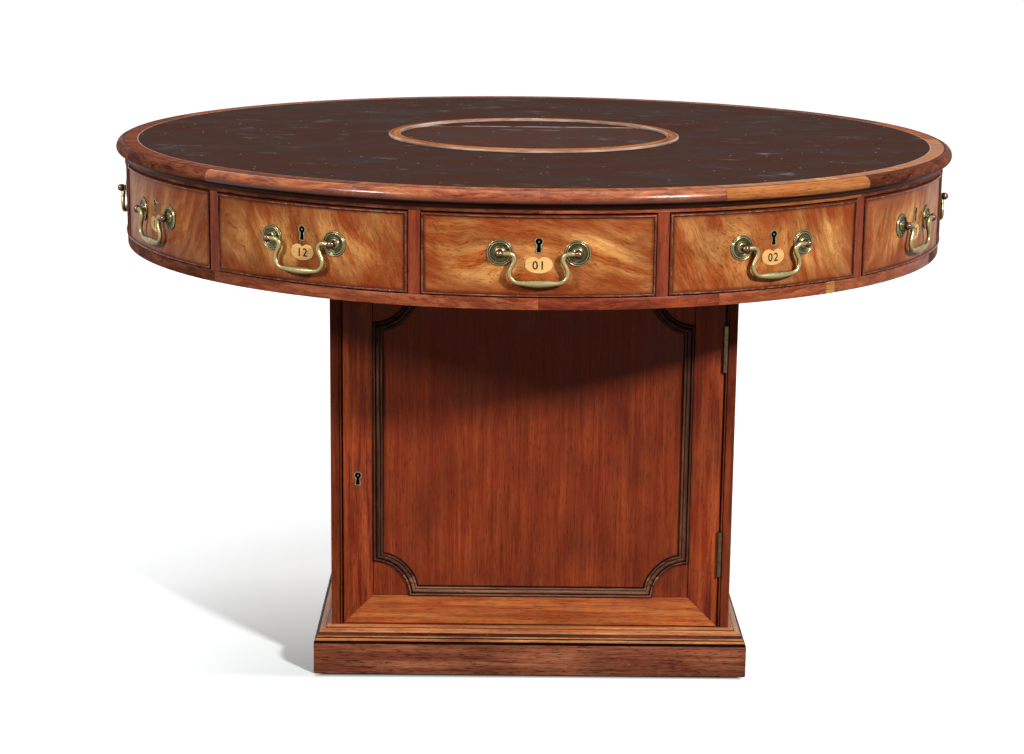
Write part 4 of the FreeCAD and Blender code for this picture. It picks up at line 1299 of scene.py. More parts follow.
@dataclass
class Door:
    """The cupboard door: four mitred members, a panel, and a reeded moulding."""

    finish: Finishes
    half: float = 275.5
    bottom: float = 71.0
    top: float = 603.0
    front: float = -294.0
    back: float = -272.0
    inner: float = 232.5
    inner_low: float = 114.0
    inner_high: float = 578.0
    hollow: float = 53.0
    key: Point2 = (-254.3, 292.0)
    lock_low: Point3 = (-272.5, -272.0, 260.0)
    lock_high: Point3 = (-230.5, -263.0, 324.0)

    def build(self) -> None:
        """Builds and dresses every piece of the door."""
        self.build_frame()
        self.build_panel()
        self.build_moulding()
        self.build_lock()

    def build_frame(self) -> None:
        """Stiles and rails, mitred where they meet, grain along each."""
        members = []
        ends = [(side, up) for side in (-1, 1) for up in (0, 1)]
        outer = {end: (end[0] * self.half, (self.bottom, self.top)[end[1]]) for end in ends}
        inner = {end: (end[0] * self.inner, (self.inner_low, self.inner_high)[end[1]])
                 for end in ends}
        runs = (("door_stile_left", (-1, 0), (-1, 1), Grain.Z, 1),
                ("door_stile_right", (1, 0), (1, 1), Grain.Z, 1),
                ("door_rail_low", (-1, 0), (1, 0), Grain.X, 0),
                ("door_rail_high", (-1, 1), (1, 1), Grain.X, 0))
        for step, (name, a, b, grain, index) in enumerate(runs):
            plan = [outer[a], outer[b], inner[b], inner[a]]
            member = draw_front(name, plan, self.front)
            extrude(member, (0, self.back - self.front, 0))
            soften(member, 0.5, 2)
            lay_grain(member, grain, (0.61 * step, 0.27 * step))
            paint_faces(self.finish.give(member, "mahogany_rail", "mahogany_stile"),
                        lambda face, index=index: index)
            members.append(member)
        self.finish.dress(smooth(join("door_members", members)), "cupboard_door",
                          node="door_frame", slot="mahogany")

    def build_panel(self) -> None:
        """The flat panel, a millimetre behind the frame."""
        panel = slab("door_field", (-self.inner, self.front + 1, self.inner_low),
                     (self.inner, self.back, self.inner_high))
        soften(panel, 0.9, 1)
        lay_grain(panel, Grain.Z, (0.11, 0.05))
        # the panel's rounded edges: a dark joint of wax and painted shade
        paint_faces(panel, lambda face: int(max(map(abs, face.normal)) < 0.9))
        self.finish.dress(panel, "cupboard_door", "mahogany_panel", "wax_in_corners",
                          node="door_panel", slot="mahogany")

    def outline(self) -> list[Point2]:
        """The moulding's outer edge, with a hollow quarter round at each corner.

        Returns:
            Points on the panel's face, in millimetres.
        """
        points: list[Point2] = []
        for x, z, first in ((self.inner, self.inner_low, 180), (self.inner, self.inner_high, 270),
                            (-self.inner, self.inner_high, 0), (-self.inner, self.inner_low, 90)):
            points += arc(x, z, self.hollow, sweep(first, first - 90, 10))
        return points

    def build_moulding(self) -> None:
        """Three reeds drawn by insets from the outer edge inwards."""
        moulding = draw_front("door_reeds", self.outline(), self.front + 1)
        profile = ((0.0, 0.0), (0.15, 2.2), (0.6, 3.6), (1.5, 4.5), (2.7, 4.8), (3.9, 4.3),
                   (4.7, 3.1), (5.0, 2.6), (5.3, 3.6), (6.0, 5.2), (7.2, 6.4), (8.6, 6.8),
                   (10.0, 6.3), (10.9, 5.0), (11.2, 3.8), (11.5, 4.2), (12.2, 5.0),
                   (13.4, 5.2), (14.6, 4.6), (15.4, 3.2), (15.8, 1.6), (16.0, 0.0))
        raise_ring(moulding, profile)
        self.lay_moulding(moulding)

        def slot_of(face: Face) -> int:
            """Hollows in painted shade, crowns in painted highlight, paler still in the lowest
            run.
            """
            crown = face.center.y < (self.front + 1 - 4.4) * MM and face.normal.y < -0.35
            return int(crown) * (2 if face.center.z < (self.inner_low + 30) * MM else 1)

        paint_faces(moulding, slot_of)
        self.finish.dress(smooth(moulding, 50), "cupboard_door", "mahogany_reed_hollow",
                          "mahogany_reed_crown", "mahogany_reed_worn", node="door_moulding",
                          slot="mahogany")

    def lay_moulding(self, moulding: Piece) -> None:
        """Lays the moulding's grain along its run: upright at the sides, level elsewhere.

        Args:
            moulding: the moulding, in its place.
        """

        def place(face: Face, corner: Corner) -> Point2:
            """Where a corner is on the log, with the moulding's curve laid flat.

            Args:
                face: the face that the corner is on.
                corner: the corner.

            Returns:
                Its place along and across the grain, in metres.
            """
            x, y, z = corner.co
            over = y * 1.5
            upright = abs(abs(face.center.x) - self.inner * MM) < 20 * MM
            return (z, x + over) if upright else (x, z + over)

        lay(moulding, place)

    def build_lock(self) -> None:
        """Key plate, a black sheet of painted shade in the keyhole, and the lock case behind the
        stile.
        """
        plate, hole = key_plate("door_key", (self.key[0], self.front, self.key[1]))
        case = slab("door_lock_case", self.lock_low, self.lock_high)
        soften(case, 1.0, 2)
        with edit(case):
            pick(case, Element.FACE, lambda face: face.normal.y > 0.9)
            bpy.ops.mesh.inset(thickness=4 * MM)
            bpy.ops.mesh.inset(thickness=0.8 * MM, depth=-0.8 * MM)
        self.finish.dress(smooth(case), "cupboard_door", "brass_hinge", slot="brass")
        self.finish.dress(smooth(plate), "cupboard_door", "brass_key_plate", node="door_lock",
                          slot="brass")
        self.finish.dress(smooth(hole), "cupboard_door", "keyhole_dark", "steel_key_pin",
                          slot="iron")


def key_outline(x: float, z: float, grow: float) -> list[Point2]:
    """The outline of a keyhole: a round head over a flared foot with a rounded end.

    Args:
        x: its middle, in millimetres.
        z: its height.
        grow: how far the outline stands outside the hole itself.

    Returns:
        Points in order, in millimetres.
    """
    head, waist, foot, end = 4.4 + grow, 2.0 + grow, 2.8 + grow, 1.1 + grow * 0.8
    low = z - 9.1 - grow + end
    start = math.degrees(math.asin(waist / head))
    return [*arc(x, z + 4.6, head, sweep(270 + start, 630 - start, 20)),
            (x - waist - 0.1, z - 1.2),
            *arc(x - foot + end, low, end, sweep(180, 270, 6)),
            *arc(x + foot - end, low, end, sweep(270, 360, 6)),
            (x + waist + 0.1, z - 1.2)]


def key_plate(name: str, middle: Point3) -> tuple[Piece, Piece]:
    """A thin brass rim round a keyhole, and a black sheet of painted shade in the hole, with a
    pin.

    Args:
        name: what the pieces' names begin with.
        middle: the centre, on the wood's face, in millimetres.

    Returns:
        The rim and the painted-shade sheet with its pin, which stand out towards -Y.
    """
    x, y, z = middle
    rim = draw_front(name + "_plate", key_outline(x, z, 1.6), 0.0)
    if rim.data.polygons[0].normal.y > 0:
        with edit(rim):
            whole()
            bpy.ops.mesh.flip_normals()
    raise_ring(rim, ((0.0, 0.0), (0.05, 0.7), (0.4, 1.05), (1.1, 1.05), (1.5, 0.75),
                     (1.6, 0.2), (1.65, 0.0)))
    hole = draw_front(name + "_hole", key_outline(x, z, 0.1), -0.12)
    extrude(hole, (0, 0.1, 0))
    clear_bench()
    bpy.ops.mesh.primitive_cylinder_add(vertices=20, radius=1.2 * MM, depth=0.8 * MM,
                                        location=(x * MM, -0.45 * MM, (z + 4.6) * MM),
                                        rotation=(math.radians(90), 0, 0))
    pin = soften(settle(named(bpy.context.object, name + "_pin")), 0.3, 2)
    inside = join(name + "_hole", [hole, pin])
    paint_faces(inside, lambda face: int(face.center.y < -0.2 * MM))
    for piece in (rim, inside):
        piece.location = (0, y * MM, 0)
        settle(piece)
    return rim, inside


def raise_ring(piece: Piece, profile: Sequence[Point2]) -> None:
    """Raises a moulding on a flat face, from its edge inwards, open in the middle.

    Args:
        piece: a flat face whose normal points the way the moulding stands.
        profile: (distance from the edge, height), in millimetres, from the edge on.
    """
    with edit(piece):
        pick(piece, Element.FACE, lambda face: True)
        for (w0, h0), (w1, h1) in zip(profile, profile[1:]):
            bpy.ops.mesh.inset(thickness=(w1 - w0) * MM, depth=(h1 - h0) * MM)
        bpy.ops.mesh.delete(type="FACE")
        pick(piece, Element.EDGE, lambda edge: edge.is_boundary)
        bpy.ops.mesh.bridge_edge_loops()
        face_outward()


@dataclass
class RoundTop:
    """The turning top: nosing, crossbanding, well rim, frieze rings.

    The lengths of a ring are counted from the back towards -X, and each number is the slot of
    that length's wood; the darker lengths stand mostly at the sides, partly as painted shade. A
    repair is the two angles between which it is let in.
    """

    finish: Finishes
    steps: int = 240
    cove: Point3 = (630.7, 737.4, 8.5)
    cove_top: float = 746.7
    nosing_joint: float = 625.0
    nosing_lengths: tuple[int, ...] = (0, 0, 3, 0, 3, 3, 0, 0, 0, 4, 3, 3, 0, 0, 3, 0)
    banding_joint: float = 603.2
    banding_lengths: tuple[int, ...] = (0, 0, 0, 2, 2, 2, 2, 0, 0, 4, 4, 4, 0, 2, 0, 0)
    banding_repair: Point2 = (35.9, 40.6)
    rim_face: Point2 = (207.2, 222.0)
    floor_lengths: tuple[int, ...] = (1, 0, 1, 0, 3, 3, 1, 1, 0, 1, 1, 3, 0, 0, 1, 0)
    floor_repair: Point2 = (38.9, 40.6)
    rail_lengths: tuple[int, ...] = (0, 2, 0, 0, 0, 0, 0, 0, 2, 3, 0, 0, 2, 0, 2, 0)
    # above this height the rail is painted with the cove's shade
    rail_face: float = 737.5

    def build(self) -> None:
        """Builds and dresses every ring of the drum."""
        self.build_nosing()
        self.build_banding()
        self.build_rim()
        self.build_floor()
        self.build_rail()

    def repaired(self, face: Face, repair: Point2) -> bool:
        """Whether a face lies in a let-in repair."""
        return repair[0] < math.degrees(bearing_of(face.center)) < repair[1]

    def build_nosing(self) -> None:
        """The round-nosed edge and the cove that runs back to the frieze."""
        x, z, radius = self.cove
        section = [(623.0, 763.0), (623.9, 762.4), (625.4, 762.9), (626.8, 762.7),
                   (629.2, 761.8), (631.4, 760.3), (633.2, 758.2), (634.4, 755.8),
                   (635.0, 753.2), (634.9, 750.8), (634.2, 748.8), (633.0, 747.3),
                   (631.6, 746.6), (631.1, 746.1),
                   *arc(x, z, radius, (92, 106, 121, 136, 151, 165.7)),
                   (621.05, 739.5), (621.05, 744.0), (623.0, 744.0)]
        nosing = turned("top_nosing", section, self.steps)
        lay_along(nosing, section, 630)
        tones = lay_lengths(nosing, self.nosing_lengths)

        def slot_of(face: Face) -> int:
            """Polished nose, cove in painted shade, and a dark line where the nose meets the
            banding.

            Args:
                face: a face of the piece.

            Returns:
                Its slot number.
            """
            # the cove below this height gets painted shade
            if face.center.z < self.cove_top * MM:
                return 1
            at_joint = radius_of(face.center) < self.nosing_joint * MM
            return 2 if at_joint else tones[face.index]

        paint_faces(nosing, slot_of)
        self.finish.dress(smooth(nosing, 32), "drum", "mahogany_nosing", "mahogany_cove",
                          "wax_in_corners", "mahogany_dark_length", "mahogany_golden_length",
                          node="top_edge_moulding", slot="mahogany")

    def build_banding(self) -> None:
        """Crossbanding laid in sixteen lengths, each from another part of the veneer."""
        section = [(602.0, 761.5), (622.9, 761.5), (622.9, 762.75), (622.3, 763.0),
                   (603.3, 763.0), (602.3, 763.0), (602.0, 762.8)]
        banding = turned("top_crossband", section, self.steps)
        lay_grain(banding, Grain.RADIAL)
        tones = lay_lengths(banding, self.banding_lengths)

        def slot_of(face: Face) -> int:
            """Worn inner joint, a let-in repair of pale wood, and the lengths of banding.

            Args:
                face: a face of the piece.

            Returns:
                Its slot number.
            """
            if radius_of(face.center) < self.banding_joint * MM:
                return 1
            return 3 if self.repaired(face, self.banding_repair) else tones[face.index]

        paint_faces(banding, slot_of)
        self.finish.dress(smooth(banding, 30), "drum", "mahogany_crossband", "worn_joint_line",
                          "mahogany_crossband_dark", "satinwood_repair", "mahogany_golden_length",
                          node="top_banding", slot="mahogany")

    def build_rim(self) -> None:
        """The raised ring round the money well, with a rubbed bead on its inner edge."""
        section = [(205.5, 761.5), (205.5, 764.9), (205.9, 766.2), (207.0, 767.0),
                   (208.4, 767.0), (209.4, 766.3), (209.9, 765.4), (210.5, 765.2),
                   (219.6, 765.6), (220.4, 766.1), (221.6, 766.2), (222.8, 765.6),
                   (223.5, 764.4), (223.5, 761.5)]
        rim = turned("well_ring", section)
        lay_along(rim, section, 215)
        inner, outer = self.rim_face
        paint_faces(rim, lambda face: int(
            not inner * MM < radius_of(face.center) < outer * MM))
        self.finish.dress(smooth(rim, 30), "drum", "mahogany_rim", "worn_joint_line",
                          node="well_rim", slot="mahogany")

    def build_floor(self) -> None:
        """The base board, of which the edge shows under the drawers."""
        section = [(20.1, 607.5), (619.8, 607.5), (620.7, 607.9), (621.0, 608.8),
                   (621.0, 622.0), (620.6, 623.0), (619.6, 623.5), (20.1, 623.5)]
        board = turned("drum_floor", section, self.steps)
        lay_grain(board, Grain.ROUND)
        tones = lay_lengths(board, self.floor_lengths)
        paint_faces(board, lambda face: (
            2 if self.repaired(face, self.floor_repair) else tones[face.index]))
        self.finish.dress(smooth(board, 30), "drum", "mahogany_frieze", "mahogany_frieze_pale",
                          "satinwood_repair", "mahogany_dark_length", node="drum_base",
                          slot="mahogany")

    def build_rail(self) -> None:
        """The thin rail over the drawers, its top strip under the nose in painted shade."""
        section = [(590.0, 733.0), (619.9, 733.0), (620.8, 733.4), (621.0, 734.3),
                   (621.0, 737.2), (621.0, 743.9), (590.0, 743.9)]
        rail = turned("drum_rail", section, self.steps)
        lay_grain(rail, Grain.ROUND, (2.0, 1.0))
        tones = lay_lengths(rail, self.rail_lengths)
        # the top strip of the rail, under the nose, gets the cove's painted shade
        paint_faces(rail, lambda face: (
            1 if face.center.z > self.rail_face * MM else tones[face.index]))
        self.finish.dress(smooth(rail, 30), "drum", "mahogany_dark_length", "mahogany_cove",
                          "mahogany_frieze_pale", "mahogany_golden_length", node="drum_top_rail",
                          slot="mahogany")


@dataclass
class Drawer:
    """One wedge-shaped drawer with its bail handle, modelled at the front and copied round."""

    finish: Finishes
    count: int = 12
    radius: float = 621.0
    proud: float = 623.0
    half_angle: float = 14.12
    low: float = 624.9
    high: float = 730.7
    crown: float = 622.86
    flat: float = 587.84
    inner: float = 223.0
    axis: float = 682.3
    tag: float = 666.8
    key: float = 692.3
    spread: float = 50.0
    lie: tuple[float, ...] = (14, 62, -70, 35, 80, -20, 50, -60, 10, 75, -64, 66)

    def build(self) -> None:
        """Models the drawer once and stands twelve of them round the drum."""
        masters = [self.front(), self.lining(), self.tag_plate(),
                   *self.locks(), self.rosettes(), self.bail()]
        for k in range(self.count):
            number = "%02d" % (k + 1)
            for master in masters:
                lie = self.lie[k] if master is masters[0] else 0.0
                copy = turned_copy(master, "%s_%s" % (master.name[:-7], number),
                                   360 / self.count * k, k, lie)
                self.hang(copy, number)
            self.numeral(k)
        for master in masters:
            bpy.data.objects.remove(master)

    def hang(self, piece: Piece, number: str) -> None:
        """Puts a copy on its drawer or, for a bail, on its own pivot.

        Args:
            piece: the copy.
            number: the drawer's number.
        """
        stands = {"drawer_front": "drawer_" + number,
                  "handle_seats": "drawer_%s_fittings" % number,
                  "swan_bail": "drawer_%s_handle" % number}
        kind = piece.name[:-3]
        brass = kind in ("handle_seats", "swan_bail", "drawer_key_plate")
        slot = "brass" if brass else "iron" if kind == "drawer_key_hole" else "drawer_wood"
        body = "bail_" if kind == "swan_bail" else "drawer_box_"
        self.finish.dress(piece, body + number, node=stands.get(kind, ""), slot=slot)

    def half_width(self, depth: float, slot: float) -> float:
        """Half the drawer's width at a depth, a slot away from the partitions' middles."""
        return depth * math.tan(math.radians(15)) - slot / math.cos(math.radians(15))

    def front(self) -> Piece:
        """The bowed front with its cock beads.

        Returns:
            The front, with veneer, bead and lining slots.
        """
        half = self.half_angle
        section = [(570.0, self.low), (self.proud, self.low), (self.proud, self.high),
                   (570.0, self.high)]
        front = turned("drawer_front_master", section, 28, -half, 2 * half)
        slice_off(front, (0, -self.flat, 0), (0, 1, 0))
        with edit(front):
            pick(front, Element.FACE, lambda face: abs(face.normal.z) < 0.5
                 and radius_of(face.calc_center_median()) > (self.proud - 1.0) * MM)
            bpy.ops.mesh.inset(thickness=3.0 * MM)
            bpy.ops.mesh.inset(thickness=0.12 * MM, depth=-(self.proud - self.radius) * MM)
            pick(front, Element.EDGE, lambda edge: edge.is_manifold
                 and edge.calc_face_angle() > 1.0
                 and min(radius_of(c.co) for c in edge.verts) > (self.proud - 0.5) * MM)
            bpy.ops.mesh.bevel(offset=1.3 * MM, segments=4, profile=0.5)
        lay_grain(front, Grain.ROUND)
        lay(front, self.on_board, "board")

        def slot_of(face: Face) -> int:
            """Veneer on the field, bead round it with a worn crown in painted highlight, plain
            wood behind.

            Args:
                face: a face of the piece.

            Returns:
                Its slot number.
            """
            out, height = radius_of(face.center) / MM, face.center.z / MM
            ahead = face.normal.x * face.center.x + face.normal.y * face.center.y > 0
            if not ahead and out < self.radius:
                return 2
            if out > self.crown:
                return 3
            if out > self.radius + 0.08:
                return 1
            inside = self.low + 2.9 < height < self.high - 2.9
            return 0 if inside and abs(face.normal.z) < 0.5 and out > self.proud - 2.2 else 2

        paint_faces(front, slot_of)
        return smooth(self.finish.give(front, "mahogany_flame_veneer", "mahogany_cock_bead",
                                       "mahogany_carcase", "mahogany_bead_crown"), 40)

    def on_board(self, _: Face, corner: Corner) -> Point2:
        """Where on the front a corner lies, for the dirt near its edges.

        Args:
            corner: the corner.

        Returns:
            Its place, from 0 to 1 along and up.
        """
        turn = math.degrees(bearing_of(corner.co))
        return (turn / (2 * self.half_angle) + 0.5,
                (corner.co.z / MM - self.low) / (self.high - self.low))

    def lining(self) -> Piece:
        """Sides, back and bottom of thin oak.

        Returns:
            The joined lining.
        """
        outer, inner, flat, back = 9.2, 18.2, self.flat, self.inner
        boards = []
        for sign in (-1, 1):
            plan = [(sign * self.half_width(depth, slot), -depth) for depth, slot in (
                (flat, outer), (back, outer), (back, inner), (flat, inner))]
            side = soften(stand_up("side", plan, 623.8, 101.0), 0.9, 2)
            boards.append(lay_grain(side, Grain.Y, (0.4 * sign, 0.2)))
        for name, front, low, height, shift in (
                ("bottom", flat, 628.8, 5.0, (0.9, 0.5)),
                ("end", back + 8, 633.8, 91.0, (0.2, 0.8))):
            plan = [(sign * self.half_width(depth, inner), -depth) for sign, depth in (
                (-1, front), (-1, back), (1, back), (1, front))]
            board = stand_up(name, plan, low, height)
            if name == "end":
                soften(board, 0.8, 2)
            boards.append(lay_grain(board, Grain.X, shift))
        return smooth(self.finish.give(join("drawer_lining_master", boards), "oak_drawer_lining"))

    def tag_plate(self) -> Piece:
        """The two-lobed boxwood tag, let in almost flush.

        Returns:
            The tag.
        """
        lobe, middle, depth, turns = 10.3, 7.7, 11.0, 12
        notch = math.degrees(math.acos(-middle / lobe))
        points = [*arc(middle, self.tag, lobe, sweep(notch, 0, turns)[:-1]),
                  *arc(0, self.tag, middle + lobe, sweep(0, -180, 2 * turns)[:-1], depth),
                  *arc(-middle, self.tag, -lobe, sweep(0, notch, turns)[:-1], lobe)]
        tag = draw_front("drawer_tag_master", points, -621.35 + 1.2)
        extrude(tag, (0, -1.2, 0))
        soften(tag, 0.15, 1)
        return smooth(self.finish.give(lay_grain(tag, Grain.X), "boxwood_tag"))

    def numeral(self, k: int) -> None:
        """Writes a drawer's number on its tag.

        Args:
            k: the drawer's place, counted from the front.
        """
        number = "%02d" % (k + 1)
        clear_bench()
        bpy.ops.object.text_add(location=(0, -621.42 * MM, (self.tag - 5.7) * MM),
                                rotation=(math.radians(90), 0, 0))
        adjust(bpy.context.object.data, body=number, size=15.6 * MM, space_character=1.16,
               align_x="CENTER", extrude=0.05 * MM, offset=0.2 * MM, resolution_u=4)
        numeral = to_mesh("tag_numeral_" + number)
        numeral.rotation_euler = (0, 0, math.radians(360 / self.count * k))
        self.finish.dress(settle(numeral), "drawer_box_" + number, "ink", slot="drawer_wood")

    def locks(self) -> tuple[Piece, Piece]:
        """The key plate and the painted shade in its keyhole.

        Returns:
            The plate and the hole.
        """
        plate, hole = key_plate("drawer_key", (0.0, -self.radius, self.key))
        named(smooth(plate), "drawer_key_plate_master")
        named(smooth(hole), "drawer_key_hole_master")
        self.finish.give(plate, "brass_key_plate")
        self.finish.give(hole, "keyhole_dark", "steel_key_pin")
        return plate, hole

    def rosettes(self) -> Piece:
        """Two ringed back plates with the posts and balls that carry the bail.

        Returns:
            The joined pair.
        """
        section = [(0.0, 0.0), (17.0, 0.0), (17.3, 0.6), (17.2, 1.3), (16.7, 1.8), (15.9, 1.9),
                   (15.3, 1.5), (15.0, 1.1), (14.7, 1.2), (14.4, 1.8), (14.0, 2.3), (13.4, 2.5),
                   (12.8, 2.3), (12.4, 1.7), (12.0, 1.2), (11.2, 1.0), (10.8, 1.2), (10.3, 1.2),
                   (9.9, 0.9), (8.9, 0.8), (8.0, 1.0), (7.3, 1.5), (6.8, 2.4), (6.1, 3.0),
                   (5.2, 3.2), (4.5, 3.8), (3.9, 4.7), (3.5, 5.6), (3.3, 6.0)]
        section += [*arc(0, 10.5, 5.6, range(-50, 90, 10)), (0.0, 16.1)]
        pair = []
        splay = math.degrees(math.asin(self.spread / self.radius))
        for sign in (-1, 1):
            rose = turned("rose", section, 96)
            with edit(rose):
                # every other point of the rim is drawn in, which makes it milled
                pick(rose, Element.VERT, lambda corner: radius_of(corner.co) > 16.6 * MM and
                     round(math.degrees(math.atan2(corner.co.y, corner.co.x)) / 3.75) % 2 == 0)
                bpy.ops.transform.resize(value=(0.972, 0.972, 1.0))
            self.finish.give(rose, "brass_rosette_ring", "brass_rosette_dish", "copper_worn_ball")
            paint_faces(rose, self.rosette_slot)
            rose.rotation_euler = (math.radians(90), 0, 0)
            rose.location = (0, -self.radius * MM, 0)
            settle(rose)
            rose.rotation_euler = (0, 0, math.radians(sign * splay))
            rose.location = (0, 0, self.axis * MM)
            pair.append(settle(rose))
        return smooth(join("handle_seats_master", pair), 50)

    def rosette_slot(self, face: Face) -> int:
        """Bright on the rings, dark in the dish and grooves, copper on the ball.

        Args:
            face: a face of the rosette, which still lies flat on the floor's middle.

        Returns:
            Its slot number.
        """
        out, height = radius_of(face.center) / MM, face.center.z / MM
        if height > 5.8:
            return 2
        return 0 if out > 12.6 and height > 1.4 or 5.0 < out < 6.9 else 1

    def bail(self) -> Piece:
        """The cast swan-neck bail, swelling to a grip in the middle.

        Returns:
            The bail.
        """
        half = [(49.6, 0.0, 2.8), (46.0, 0.1, 3.1), (42.0, 0.3, 3.5), (38.4, 0.2, 3.7),
                (34.8, -0.9, 3.6), (32.2, -3.4, 3.4), (31.2, -6.8, 3.3), (31.9, -10.8, 3.2),
                (33.8, -14.8, 3.1), (35.9, -18.8, 3.0), (37.3, -22.8, 3.0), (37.4, -26.8, 3.0),
                (36.2, -30.6, 3.0), (33.6, -34.0, 3.0), (30.0, -36.5, 3.1), (25.4, -37.7, 3.3),
                (20.2, -38.1, 3.8), (14.0, -38.4, 4.5), (7.0, -38.7, 5.0)]
        run = half + [(0.0, -38.8, 5.2)] + [(-x, z, r) for x, z, r in reversed(half)]
        clear_bench()
        bpy.ops.curve.primitive_bezier_curve_add(location=(0, 0, 0))
        wire = bpy.context.object.data
        adjust(wire, dimensions="3D", bevel_depth=MM, bevel_resolution=6, resolution_u=4,
               use_fill_caps=True)
        points = wire.splines[0].bezier_points
        points.add(len(run) - len(points))
        for point, (x, z, radius) in zip(points, run):
            adjust(point, co=(x * MM, -629.45 * MM, (self.axis + z) * MM), radius=radius,
                   handle_left_type="AUTO", handle_right_type="AUTO")
        take(bpy.context.object)
        bail = to_mesh("swan_bail_master")
        bail.data.materials.clear()
        return smooth(self.finish.give(bail, "brass_bail"), 60)


@dataclass
class Frame:
    """The nodes of the frame that stay as they are and only get a finish."""

    finish: Finishes
    nodes: Mapping[str, Piece]

    def build(self) -> None:
        """Gives each kept node its finish."""
        plan = {
            "carcase_back": "mahogany_boards_along_z",
            "carcase_boards": "mahogany_boards_along_x",
            "drum_dividers": "mahogany_partition", "top_board": "mahogany_boards_along_x",
            "lid_board": "mahogany_boards_along_x", "well_box": "oak_well_lining",
            "turning_pivot": "iron_black", "lid_pins": "brass_hinge",
            "door_hinge_leaves": "brass_hinge", "side_hinge_leaves": "brass_hinge",
            "top_leather": "calf_leather", "lid_leather": "calf_leather_lid",
        }
        for name, kind in plan.items():
            self.nodes[name].data.materials.clear()
            self.finish.give(self.nodes[name], kind)
            log.info("%s: %s", name, kind)


# -------------------------------------------------------------------- the room


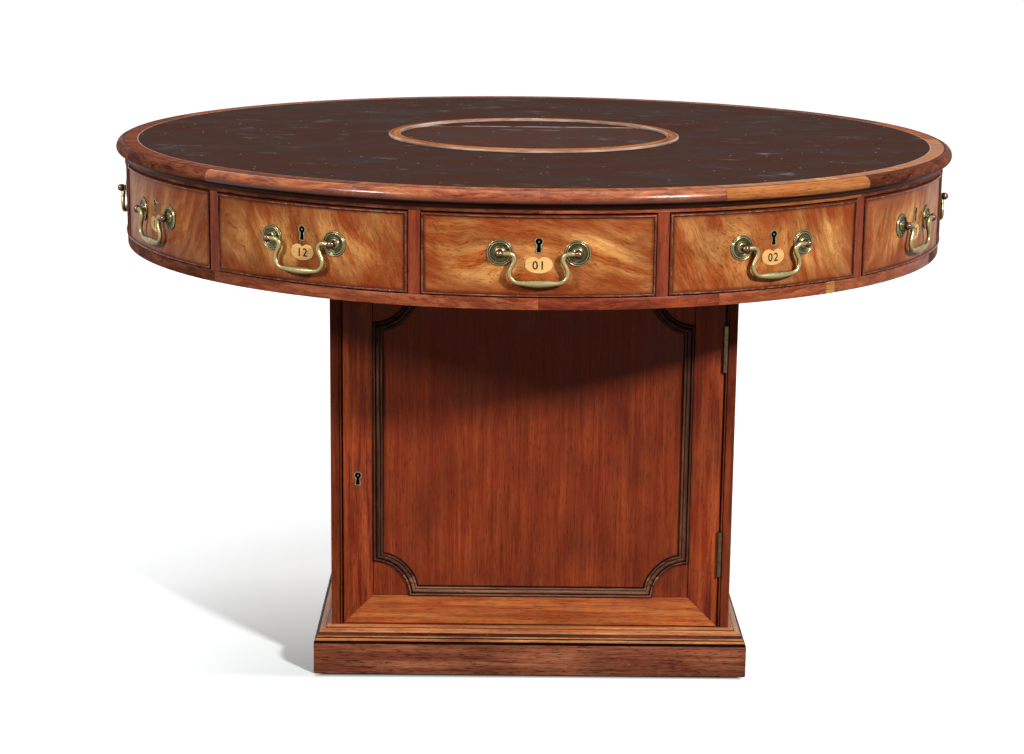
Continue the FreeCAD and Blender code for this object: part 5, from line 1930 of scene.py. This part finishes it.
@dataclass
class Studio:
    """Plain pale floor, soft lamps and the camera."""

    place: Point3 = (-0.0482, -3.4695, 1.1558)
    pitch: float = 12.597
    yaw: float = 0.313
    roll: float = 0.644
    lens: float = 79.105

    def build(self) -> None:
        """Builds the floor, the lamps, the world and the camera."""
        self.build_floor()
        self.build_world()
        for name, spot, aim, size, power in (
                ("lamp_left", (-2.9, -3.1, 2.55), (0, -0.3, 0.4), 0.6, 115.0),
                ("lamp_right", (2.48, -3.5, 2.72), (0, -0.3, 0.4), 0.4, 225.0),
                ("lamp_over", (0.2, 0.2, 3.4), (0, 0, 0.7), 2.4, 30.0)):
            self.lamp(name, spot, aim, size, power)
        self.build_camera()

    def seen(self, tree: Tree) -> Source:
        """A mask of the rays that look at a surface: from the camera, in gloss, through glass.

        Args:
            tree: the nodes of a material or of the world.

        Returns:
            The mask, 1 for such rays.
        """
        rays = add(tree, "LightPath").outputs
        mask: Source = rays["Is Camera Ray"]
        for ray in ("Is Glossy Ray", "Is Transmission Ray"):
            mask = add(tree, "Math", {0: mask, 1: rays[ray]}, operation="MAXIMUM")
        return mask

    def build_floor(self) -> None:
        """A pale floor, white to the camera where no shadow falls, with a painted contact shadow
        and a painted shape to its cast shadow.
        """
        clear_bench()
        bpy.ops.mesh.primitive_plane_add(size=80, location=(0, 20, -0.0005))
        floor = named(settle(bpy.context.object), "studio_floor")
        material, tree, shader = begin("floor_paper")
        place = add(tree, "TexCoord").outputs["Object"]
        # painted contact shadow: the paper is darker right beside the plinth, where hardly any
        # light comes in
        side = add(tree, "VectorMath", {0: place, 1: (1.045, 1, 0)}, operation="MULTIPLY")
        side = add(tree, "VectorMath", {0: side}, operation="ABSOLUTE")
        axes = add(tree, "SeparateXYZ", {0: side}).outputs
        side = add(tree, "Math", {0: axes[0], 1: axes[1]}, operation="MAXIMUM")
        clear = add(tree, "MapRange", {0: side, 1: 0.3195, 2: 0.334})
        paper = add(tree, "Mix", {0: clear, 6: colour("#4c4e50"), 7: colour("#fafffe")},
                    data_type="RGBA")
        rays = add(tree, "LightPath").outputs
        paper = add(tree, "Mix", {0: rays["Is Camera Ray"], 6: colour("#48484a"), 7: paper},
                    data_type="RGBA")
        connect(tree, shader, {"Base Color": paper, "Roughness": 0.9, "Specular IOR Level": 0.0})
        # painted shadow: the paper glows less round the plinth's left front corner, where the
        # cast shadow falls, and more in front of the plinth
        away = add(tree, "VectorMath", {0: place, 1: (-0.3, -0.35, 0)}, operation="DISTANCE")
        ahead = add(tree, "SeparateXYZ", {0: place}).outputs[1]
        white: object = 0.0
        for spot, start, end, most in ((away, 0.05, 0.55, 0.56), (away, 0.55, 1.8, 0.38),
                                       (ahead, -0.32, -0.37, 0.4)):
            part = add(tree, "MapRange", {0: spot, 1: start, 2: end, 4: most})
            white = add(tree, "Math", {0: white, 1: part}, operation="ADD")
        # no glow right beside the plinth, for the painted contact shadow
        white = add(tree, "Math", {0: white, 1: clear}, operation="MULTIPLY")
        strength = add(tree, "Math", {0: self.seen(tree), 1: white}, operation="MULTIPLY")
        glow = add(tree, "Emission", {"Color": (1, 1, 1, 1), "Strength": strength})
        both = add(tree, "AddShader", {0: shader, 1: glow})
        connect(tree, find(tree, "OUTPUT_MATERIAL"), {"Surface": both})
        floor.data.materials.append(material)

    def build_world(self) -> None:
        """White to the camera, a softer grey for the light that falls on the table."""
        world = bpy.data.worlds.new("studio_world")
        bpy.context.scene.world = world
        world.use_nodes = True
        tree = world.node_tree
        strength = add(tree, "MapRange", {0: self.seen(tree), 3: 0.08, 4: 1.0})
        connect(tree, find(tree, "BACKGROUND"), {"Color": (1, 1, 1, 1), "Strength": strength})

    def lamp(self, name: str, spot: Point3, aim: Point3, size: float, power: float) -> None:
        """One soft square lamp.

        Args:
            name: its name.
            spot: where it hangs, in metres.
            aim: what it looks at.
            size: its side, in metres.
            power: its power in watts.
        """
        clear_bench()
        bpy.ops.object.light_add(type="AREA", location=spot)
        lamp = bpy.context.object
        lamp.name = name
        adjust(lamp.data, size=size, energy=power)
        lamp.rotation_euler = (Vector(aim) - Vector(spot)).to_track_quat("-Z", "Y").to_euler()

    def build_camera(self) -> None:
        """A camera at standing height, a little left of the middle."""
        clear_bench()
        bpy.ops.object.camera_add(location=self.place)
        camera = bpy.context.object
        pitch, yaw, roll = (math.radians(a) for a in (self.pitch, self.yaw, self.roll))
        ahead = Vector((math.sin(yaw) * math.cos(pitch), math.cos(yaw) * math.cos(pitch),
                        -math.sin(pitch)))
        right = Vector((math.cos(yaw), -math.sin(yaw), 0))
        above = right.cross(ahead)
        side = math.cos(roll) * right + math.sin(roll) * above
        up = -math.sin(roll) * right + math.cos(roll) * above
        turn = Matrix((side, up, -ahead)).transposed()
        camera.matrix_world = Matrix.Translation(self.place) @ turn.to_4x4()
        adjust(camera.data, sensor_width=36, lens=self.lens, clip_end=100)
        bpy.context.scene.camera = camera


def main() -> None:
    """Loads the frame and builds the table's pieces and the room."""
    logging.basicConfig(level=logging.INFO, format="%(name)s %(message)s")
    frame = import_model()
    clear_bench()
    finish = Finishes()
    finish.build()
    for part in (Pedestal(finish), Door(finish), RoundTop(finish), Drawer(finish),
                 Frame(finish, frame["nodes"]), Studio()):
        log.info("building %s", type(part).__name__)
        part.build()
    bpy.context.scene.view_settings.view_transform = "Standard"
    clear_bench()


if __name__ == "__main__":
    main()
